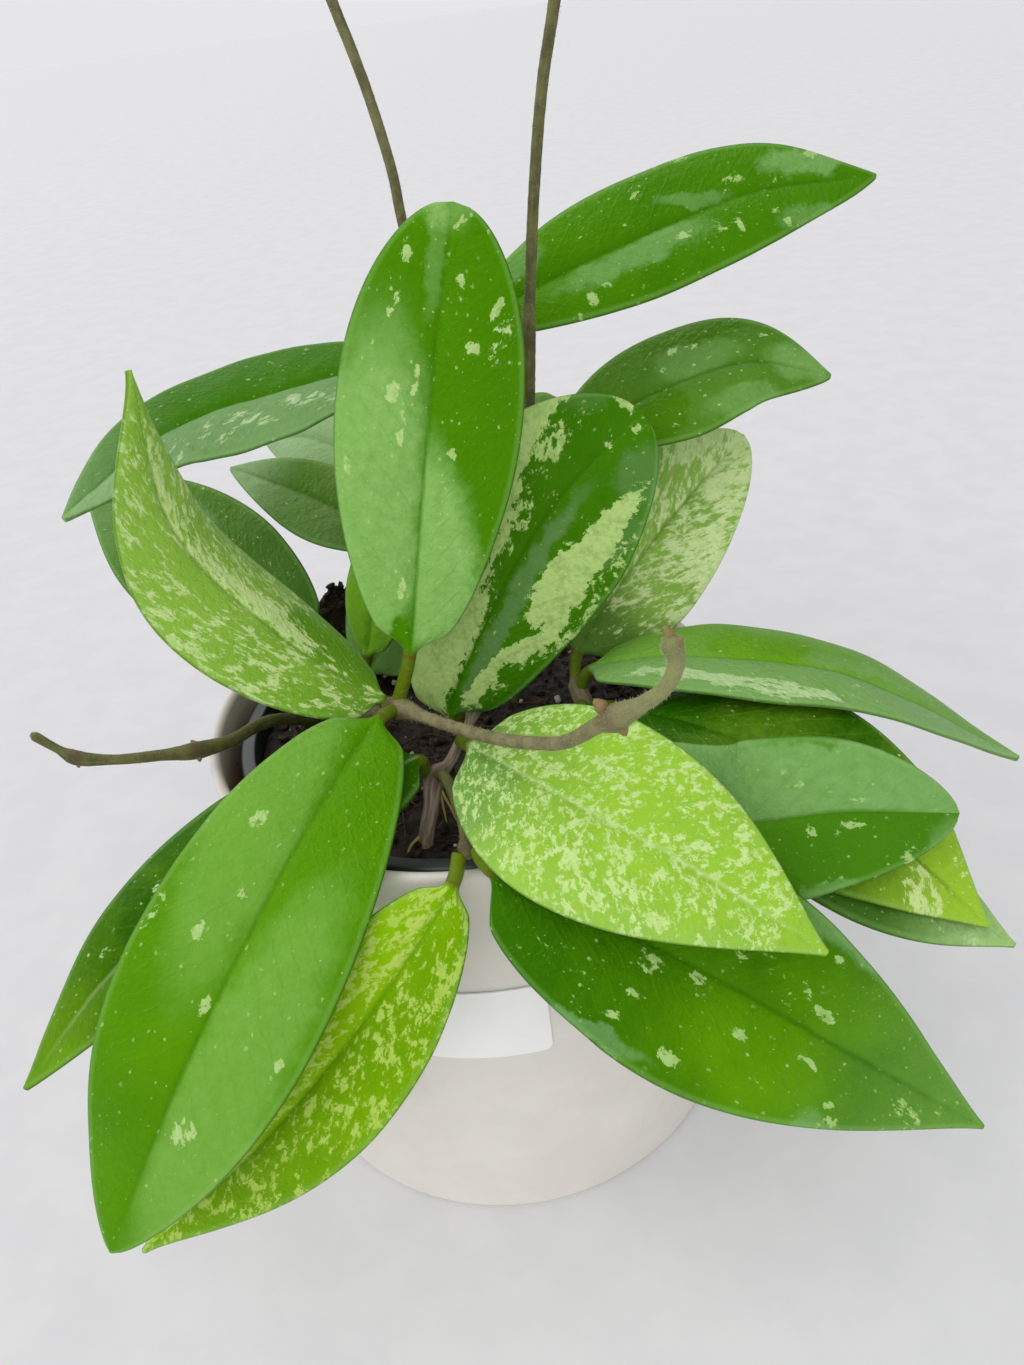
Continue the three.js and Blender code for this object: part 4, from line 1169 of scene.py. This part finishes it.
def leafMaterial(name, leaf, seed):
    gloss = {"Specular IOR Level": leaf["gloss"], "Specular Tint": leaf["glossTint"]}
    material, tree, skin = newMaterial(name + "_skin", **leafSurface, **gloss)
    place = pinned(tree, "leafPlace")
    share = pinned(tree, "leafShare")
    below = parted(tree, place)[2]
    s = parted(tree, share)[1]
    halves = placed(tree, halfGroup, Place=place, Fray=leaf["fray"], Seed=seed + 21.0)
    bent = halves["Bent"]
    tone = field(tree, bent, share, halves, leaf["tones"], leaf["tonePatches"])
    colour = placed(
        tree, toneGroup, Place=place, Deep=shade(leaf["deep"]), Bright=shade(leaf["bright"]), Tone=tone,
        Clouds=leaf["clouds"], Seed=seed,
    )["Colour"]
    lines = placed(tree, leafLinesGroup, Place=place, Share=share, Slant=veinSlant)
    # painted sheen: a pale wash over the blade that stands in for reflected light
    amount = field(tree, bent, share, halves, leaf["sheen"], leaf["sheenPatches"], edge=sheenEdge)
    sheen = placed(tree, sheenGroup, Place=place, Amount=amount, Seed=seed + 9.0)["Mask"]
    colour = blendColour(tree, sheen, colour, shade(leaf["sheenColour"]))
    density = field(
        tree, halves["Frayed"], share, halves, leaf["splash"], leaf["patches"], leaf["patchPower"],
    )
    fine = grain(tree, place, 0.8, 4.0, 0.6)
    slow = grain(tree, place, 0.2, 4.0, 0.62)
    colour = fleckedColour(tree, leaf, seed, place, density, colour, fine, slow)
    ribColour = leaf["deep"] if leaf["midrib"] < 0 else leaf["paleRib"]
    # the pale band just inside the margin is a painted highlight on the rounded edge
    colour = overlaid(tree, colour, (
        (lines["Veins"], 0.1, leaf["bright"]), (lines["Rib"], abs(leaf["midrib"]), ribColour),
        (lines["Bevel"], 0.22, leaf["rimHighlight"]), (lines["Edge"], 0.55, leaf["margin"]),
    ))
    underside = undersideColour(tree, leaf, lines, slow)
    colour = blendColour(tree, spread(tree, below, 0.55, 0.9), colour, underside)
    wire(tree, skin.inputs["Base Color"], stalkedColour(tree, leaf, place, s, colour))
    rough = spread(tree, fine, 0.3, 0.7, leaf["roughness"] - 0.05, leaf["roughness"] + 0.07)
    wire(tree, skin.inputs["Roughness"], plus(tree, rough, times(tree, sheen, 0.08)))
    height = plus(tree, times(tree, fine, 0.34), slow)
    height = minus(tree, height, times(tree, lines["Veins"], 0.1))
    relief(tree, skin, height, 0.7, 0.0009)
    return material


def makeLeaves():
    rng = np.random.default_rng(leafDetail["seed"])
    for number, (name, own) in enumerate(leaves.items()):
        leaf = {**leafShape, **leafLook, **own}
        points, faces, places, shares = makeLeafMesh(leaf, leafDetail, rng)
        material = leafMaterial(name, leaf, number * 13.7)
        pins = {"leafPlace": places, "leafShare": shares}
        newPiece(name + "_fine", points, faces, material, node=name, pins=pins)


makeLeaves()
print("leaves made:", len(leaves))


# Stems

stemDetail = dict(
    sides=20, ringGap=0.7, seed=3, hairLength=(0.25, 0.5), hairRadius=0.04, nodeRise=0.3, nodeReach=2.2,
    youngAndHighlightFrom=0.5,
    rough=0.018, barkRadius=1.5, hairLean=0.35, hairSink=0.1, bareFoot=3,
)
stemLook = dict(
    olive="#4a4c1e", oliveDrift="#666a2c", grey="#70684a", greyDrift="#979068", old="#7d6c5c",
    oldStripe="#a99a86", node="#4d3829", stipple="#aaa37e", hair="#c9c3a4", youngAndHighlight="#98a362",
)
stems = {  # each shoot: how grey, how old (below 0: a paler young tip, partly painted highlight), how hairy, and its path with radii
    "stem_main": [
        (0.6, 1.0, 0, [
            (-11, -41, 98, 1.8), (-11, -41, 110, 1.8), (-8.8, -37, 117, 1.7), (-7, -33, 122, 2.5),
            (-4, -30, 123, 1.3), (-1, -24, 124.5, 1.2), (1, -17, 123.5, 1.2), (2.2, -8.5, 121.5, 2),
            (2.8, -6.5, 122.3, 0.9),
        ]),
        (0.1, 0.0, 3, [
            (-7, -33, 122, 1.1), (-5, -37, 125.5, 1.2), (-3.5, -42, 126.5, 1.2), (-1.5, -51, 126.5, 1.2),
            (-0.5, -58, 126.5, 1.3), (-0.5, -61, 126, 2.1), (-0.5, -63, 125.5, 0.9),
        ]),
    ],
    "stem_long_shoot": [
        (1.0, -1.0, 26, [
            (-31, -3, 98, 1.4), (-31, -4, 110, 1.4), (-28, -10, 122, 1.4), (-24, -14.5, 127.5, 1.3),
            (-19.5, -17.5, 130.5, 1.3), (-14, -22, 134, 2.6), (-7, -30, 136, 1.35), (1, -40, 139, 1.3),
            (8, -51, 144, 1.3), (14, -60, 149, 1.25), (20, -70, 156, 1.25), (25, -77, 164, 1.4),
            (27.5, -79, 166.5, 2.3), (32, -82, 171, 1.3), (35, -84, 175, 1.2), (36.5, -84, 179, 1.3),
            (36, -83.5, 182, 1.7), (35.5, -83, 183.5, 0.8),
        ]),
    ],
    "stem_left_shoot": [
        (0.0, 0.0, 6, [
            (-38, 13, 100, 1.5), (-40, 10, 110, 1.5), (-45, 0, 119.5, 1.5), (-49, -7, 123.5, 1.5),
            (-54, -14, 125, 1.45), (-61, -18.5, 126.5, 2), (-69, -20, 127.5, 1.3),
            (-78, -21, 128.5, 1.15), (-87, -20.5, 130, 1.7), (-91, -19, 132, 0.95),
            (-95.5, -17, 134.5, 1.1), (-96.5, -16.5, 135, 0.6),
        ]),
    ],
    "stem_tall_left": [
        (0.45, 0.0, 6, [
            (-4, 2, 98, 1.3), (-4, 3, 110, 1.3), (-4, 11, 126, 1.3), (-5, 25, 151, 2), (-1, 26, 174, 1.2),
            (3, 28, 195, 2), (2, 29, 210, 1.1), (0.5, 30, 225, 1.1), (0, 31, 233, 1.1),
            (-3, 34, 249, 1.1), (-7, 36, 264, 1.1), (-12, 39, 282, 1.7), (-16, 41, 295, 1),
            (-18, 42, 301, 1.5), (-19, 42.5, 304, 0.6),
        ]),
    ],
    "stem_tall_right": [
        (0.3, 0.0, 6, [
            (12, 8, 98, 1.3), (12, 9, 110, 1.3), (17, 14, 125, 1.3), (21, 18, 145, 1.3),
            (22.6, 20, 169, 2), (23.4, 20, 180, 1.2), (24.5, 18, 199, 1.7), (25.7, 17, 208.6, 1.2),
            (28, 14, 228, 1.15), (31, 11, 247, 1.1), (34, 8, 260, 1.1), (37.5, 4, 277, 1.7),
            (40, 1, 289, 1), (41.5, -0.5, 296, 1.5), (42, -1, 299, 0.6),
        ]),
    ],
    "stem_right": [
        (0.4, 0.4, 2, [
            (30, -6, 98, 1.6), (30, -6, 110, 1.6), (29, -7, 117, 2.4), (27.5, -3.5, 121, 2.2),
            (27, -2, 123, 1),
        ]),
    ],
    "stem_back_left": [
        (0.4, 0.3, 2, [
            (-29, 13, 98, 1.5), (-29, 13, 110, 1.5), (-29, 13, 117, 2.3), (-29, 13, 119, 1),
        ]),
    ],
}
budLook = dict(
    colour="#7c7a3a", drift="#85604c", speck="#5b4232", specks=0.2, roughness=0.6, grain=0.3, relief=0.1,
)
rootLook = dict(
    colour="#b3a352", drift="#9a8a58", roughness=0.85, grain=0.3, relief=0.1, radii=(0.36, 0.32, 0.28, 0.14),
)
buds = [  # foot, tip, radius
    ((26, -78, 167.2), (24.6, -77.2, 169.4), 1.2), ((28, -80.2, 165.6), (29, -81, 164.2), 0.9),
    ((36, -83.5, 182), (35.2, -82.4, 184.8), 1.0), ((36.2, -84, 182), (37.4, -84.8, 183.8), 0.7),
    ((-61, -19, 126), (-60.4, -20.4, 124.6), 0.8), ((-61, -18, 127), (-62, -17.4, 128.8), 0.8),
    ((-87, -21, 129.6), (-86.4, -22, 128.2), 0.7), ((-87, -20, 130.4), (-87.8, -19.4, 131.8), 0.6),
    ((-12, 39, 282), (-13.2, 38.4, 284.2), 0.7), ((37.5, 4, 277), (38.8, 3.6, 279.2), 0.7),
]
aerialRoots = [  # paths from the stems towards the potting mix
    [(-7, -34.5, 121.4), (-6.4, -35.6, 119), (-6.2, -36.4, 116), (-6, -37.4, 112.6)],
    [(-6.4, -34.6, 121), (-5.6, -36, 118.8), (-4.6, -37, 116.4), (-3.8, -38, 113.4)],
    [(-1.5, -25.5, 124), (-3.5, -27.5, 122.5), (-5.5, -29, 119), (-6.5, -30.5, 115)],
    [(-12, -41.5, 113), (-14, -43, 112), (-15, -44.4, 110.2), (-15.4, -45, 108)],
]


def stemMaterial(look):
    material, tree, skin = newMaterial("stemBark", Roughness=0.62)
    place = pinned(tree, "stemPlace")
    node, grey, old = parted(tree, pinned(tree, "stemKind"))
    base = blendColour(tree, grey, shade(look["olive"]), shade(look["grey"]))
    drift = blendColour(tree, grey, shade(look["oliveDrift"]), shade(look["greyDrift"]))
    stippled = plus(tree, 0.12, times(tree, grey, 0.3))
    bark = placed(
        tree, mottleGroup, Place=place, Colour=base, Drift=drift, DriftSize=3.0, Amount=0.8, GrainSize=0.35,
        SpeckSize=0.55, SpeckColour=shade(look["stipple"]), Specks=stippled,
    )
    x, y, run = parted(tree, place)
    squeezed = ((x, 1.9), (y, 1.9), (run, 0.12))
    drawn = joined(tree, *(times(tree, part, share) for part, share in squeezed))
    stripes = grain(tree, drawn, 1.0, 4.0, 0.6)
    dry = blendColour(tree, spread(tree, stripes, 0.42, 0.62), shade(look["old"]), shade(look["oldStripe"]))
    streaked = spread(tree, stripes, 0.52, 0.7, 0.0, 0.3)
    colour = blendColour(tree, streaked, bark["Colour"], shade(look["greyDrift"]))
    colour = blendColour(tree, calc(tree, "MAXIMUM", old, 0.0), colour, dry)
    # a paler tip: partly young growth, partly painted highlight
    youngAndHighlight = times(tree, old, -1.0, clamp=True)
    colour = blendColour(tree, times(tree, youngAndHighlight, 0.8), colour, shade(look["youngAndHighlight"]))
    colour = blendColour(tree, times(tree, node, 0.65), colour, shade(look["node"]))
    wire(tree, skin.inputs["Base Color"], colour)
    relief(tree, skin, plus(tree, bark["Grain"], times(tree, stripes, 0.8)), 0.8, 0.00035)
    return material


def makeStem(name, shoots, detail, rng, material):
    points, faces, places, kinds, roots = [], [], [], [], []
    for grey, old, hairs, shoot in shoots:
        path = [np.array(p[:3], float) for p in shoot]
        radii = [p[3] for p in shoot]
        length = sum(np.linalg.norm(q - p) for p, q in zip(path, path[1:]))
        steps = max(8, int(length / detail["ringGap"]))
        inner = range(1, len(radii) - 1)
        nodes = [i for i in inner if radii[i] > max(radii[i - 1], radii[i + 1]) + detail["nodeRise"]]
        rough = rng.normal(size=(steps + 1, detail["sides"])) * detail["rough"]
        rings = loft(path, radii, detail["sides"], steps, bumps=lambda i, j: rough[i, j])
        faces += skinFaces(len(rings), detail["sides"], start=len(points))
        run = 0.0
        middles = [np.mean(ring, axis=0) for ring in rings]
        for i, ring in enumerate(rings):
            run += np.linalg.norm(middles[i] - middles[i - 1]) if i else 0
            nearest = min((np.linalg.norm(middles[i] - path[n]) for n in nodes), default=99)
            swell = math.exp(-((nearest / detail["nodeReach"]) ** 2))
            towardsTip = min(1, max(0, (i / steps - detail["youngAndHighlightFrom"]) / (1 - detail["youngAndHighlightFrom"])))
            age = old * smoothStep(towardsTip) if old < 0 else old
            for j, point in enumerate(ring):
                angle, wide = 2 * math.pi * j / detail["sides"], detail["barkRadius"]
                points.append(point)
                places.append((wide * math.cos(angle), wide * math.sin(angle), run))
                kinds.append((swell * (1 + 0.5 * min(0, age)), grey, age))
        for _ in range(int(length * hairs)):
            i, j = rng.integers(1, len(rings) - 1), rng.integers(detail["sides"])
            roots.append((rings[i][j], rings[i][j] - middles[i]))
    pins = {"stemPlace": places, "stemKind": kinds}
    newPiece(name + "_fine", points, faces, material, node=name, pins=pins)
    return roots


def makeHairs(roots, look, detail, rng):  # three-sided spikes that stand off the stems
    points, faces = [], []
    for foot, outward in roots:
        if foot[2] < soilLook["top"] + detail["bareFoot"]:
            continue
        outward = normed(outward)
        lean = rng.normal(size=3) * detail["hairLean"]
        side = normed(np.cross(outward, (0.2, 0.3, 0.9)))
        other = np.cross(outward, side)
        start = len(points)
        for turn in (0, 2.1, 4.2):
            reach = detail["hairRadius"] * (side * math.cos(turn) + other * math.sin(turn))
            points.append(foot - outward * detail["hairSink"] + reach)
        points.append(foot + (outward + lean) * rng.uniform(*detail["hairLength"]))
        faces += [(start + a, start + b, start + 3) for a, b in ((0, 1), (1, 2), (2, 0))]
        faces.append((start + 2, start + 1, start))
    hairLook = dict(colour=look["hair"], drift=look["stipple"], roughness=0.7, grain=0.3, relief=0.01)
    material = plainMaterial("stemHair", hairLook)
    newPiece("stem_hairs", points, faces, material)


def makeBuds():  # small pointed buds at the stem joints
    points, faces = [], []
    for foot, tip, radius in buds:
        foot, tip = np.array(foot, float), np.array(tip, float)
        route = [foot, foot + (tip - foot) * 0.4 + (0.1, 0, 0.1), foot + (tip - foot) * 0.8, tip]
        addTube(points, faces, route, [radius * 0.8, radius, radius * 0.6, 0.12], 14, 12)
    material = plainMaterial("stemBud", budLook)
    newPiece("stem_buds", points, faces, material)


def makeAerialRoots():
    points, faces = [], []
    for route in aerialRoots:
        addTube(points, faces, route, rootLook["radii"], 8, 24)
    material = plainMaterial("rootSkin", rootLook)
    newPiece("aerial_roots", points, faces, material)


def makeStems():
    rng = np.random.default_rng(stemDetail["seed"])
    material = stemMaterial(stemLook)
    roots = []
    for name, shoots in stems.items():
        roots += makeStem(name, shoots, stemDetail, rng, material)
    makeHairs(roots, stemLook, stemDetail, rng)
    makeBuds()
    makeAerialRoots()


makeStems()
print("stems made")


# Floor, light and camera

stageLook = dict(
    radius=9.0, below=0.05, colour="#e9e9eb", drift="#e4e4e7", roughness=0.8, grain=0.6, relief=0.02,
    backdrop="#e6e6e9",
)
lightLook = dict(
    tint="#f8f8fa", front=0.97, back=0.42, top=0.54, left=0.18,  # the soft light that the studio gives
    dim=0.12, window=3.2, windowAt=(-0.45, 0.35, 0.82), windowEdge=(0.45, 0.95),  # what gloss mirrors
    key=1.34, keyAngle=75, keyFrom=(-0.25, -0.6, 0.9),
)
cameraLook = dict(place=(0.0120, -0.2129, 0.2665), pitch=34.16, roll=-6.95, lens=27.76, sensor=36)


def makeFloor(look):
    rings, sides = 24, 96
    radii = look["radius"] * np.linspace(0, 1, rings + 1)[1:] ** 2 / metre
    angles = np.arange(sides) * 2 * math.pi / sides
    points = [(0, 0, -look["below"])]
    points += [(r * math.cos(t), r * math.sin(t), -look["below"]) for r in radii for t in angles]
    faces = [(0, 1 + j, 1 + (j + 1) % sides) for j in range(sides)]
    faces += [face[::-1] for face in skinFaces(rings, sides, start=1, caps=False)]
    mesh = bpy.data.meshes.new("pale_floor")
    mesh.from_pydata((np.array(points) * metre).tolist(), [], faces)
    mesh.materials.append(plainMaterial("paleFloor", look))
    floor = bpy.data.objects.new("pale_floor", mesh)
    bpy.context.scene.collection.objects.link(floor)


def addSun(name, strength, degrees, fromWhere):
    lamp = bpy.data.lights.new(name, "SUN")
    lamp.energy = strength
    lamp.angle = math.radians(degrees)
    lamp.color = (1.0, 0.99, 0.97)
    holder = bpy.data.objects.new(name, lamp)
    holder.visible_glossy = False
    holder.rotation_euler = Vector(fromWhere).to_track_quat("Z", "Y").to_euler()
    bpy.context.scene.collection.objects.link(holder)


def roomLevel(tree, front, back, top, left):  # brightness by direction
    x, y, z = parted(tree, tree.nodes.new("ShaderNodeTexCoord").outputs["Generated"])
    behind = spread(tree, y, -0.5, 0.6)
    level = spread(tree, behind, 0.0, 1.0, front, back, smooth=False)
    level = plus(tree, level, times(tree, spread(tree, x, -0.2, -0.9), left))
    overhead = spread(tree, z, 0.25, 0.7)
    return plus(tree, level, times(tree, overhead, minus(tree, top, level)))


def windowLevel(tree, look):  # a dim room with one soft bright window
    way = tree.nodes.new("ShaderNodeTexCoord").outputs["Generated"]
    facing = tree.nodes.new("ShaderNodeVectorMath")
    facing.operation = "DOT_PRODUCT"
    tree.links.new(way, facing.inputs[0])
    facing.inputs[1].default_value = Vector(look["windowAt"]).normalized()
    return spread(tree, facing.outputs["Value"], *look["windowEdge"], look["dim"], look["window"])


def makeLight(look, stage):
    world = bpy.data.worlds.new("softStudio")
    bpy.context.scene.world = world
    world.use_nodes = True
    tree = world.node_tree
    rays = tree.nodes.new("ShaderNodeLightPath").outputs
    soft = roomLevel(tree, look["front"], look["back"], look["top"], look["left"])
    mirrored = windowLevel(tree, look)
    difference = times(tree, rays["Is Glossy Ray"], minus(tree, mirrored, soft))
    studio = tree.nodes["Background"]
    studio.inputs["Color"].default_value = shade(look["tint"])
    wire(tree, studio.inputs["Strength"], plus(tree, soft, difference))
    backdrop = tree.nodes.new("ShaderNodeBackground")  # what the camera sees past the floor
    backdrop.inputs["Color"].default_value = shade(stage["backdrop"])
    choice = tree.nodes.new("ShaderNodeMixShader")
    tree.links.new(rays["Is Camera Ray"], choice.inputs[0])
    tree.links.new(studio.outputs[0], choice.inputs[1])
    tree.links.new(backdrop.outputs[0], choice.inputs[2])
    tree.links.new(choice.outputs[0], tree.nodes["World Output"].inputs["Surface"])
    addSun("windowLight", look["key"], look["keyAngle"], look["keyFrom"])


def makeCamera(look):
    lens = bpy.data.cameras.new("photoCamera")
    lens.sensor_fit = "AUTO"
    lens.sensor_width = look["sensor"]
    lens.lens = look["lens"]
    lens.clip_start = 0.01
    pitch, roll = math.radians(look["pitch"]), math.radians(look["roll"])
    forward = Vector((0, math.cos(pitch), -math.sin(pitch)))
    level = Vector((1, 0, 0))
    upright = level.cross(forward)
    right = math.cos(roll) * level + math.sin(roll) * upright
    up = -math.sin(roll) * level + math.cos(roll) * upright
    camera = bpy.data.objects.new("photoCamera", lens)
    turned = Matrix((right, up, -forward)).transposed().to_4x4()
    camera.matrix_world = Matrix.Translation(look["place"]) @ turned
    bpy.context.scene.collection.objects.link(camera)
    bpy.context.scene.camera = camera


makeFloor(stageLook)
makeLight(lightLook, stageLook)
makeCamera(cameraLook)
bpy.context.scene.view_settings.view_transform = "Standard"
print("stage made")
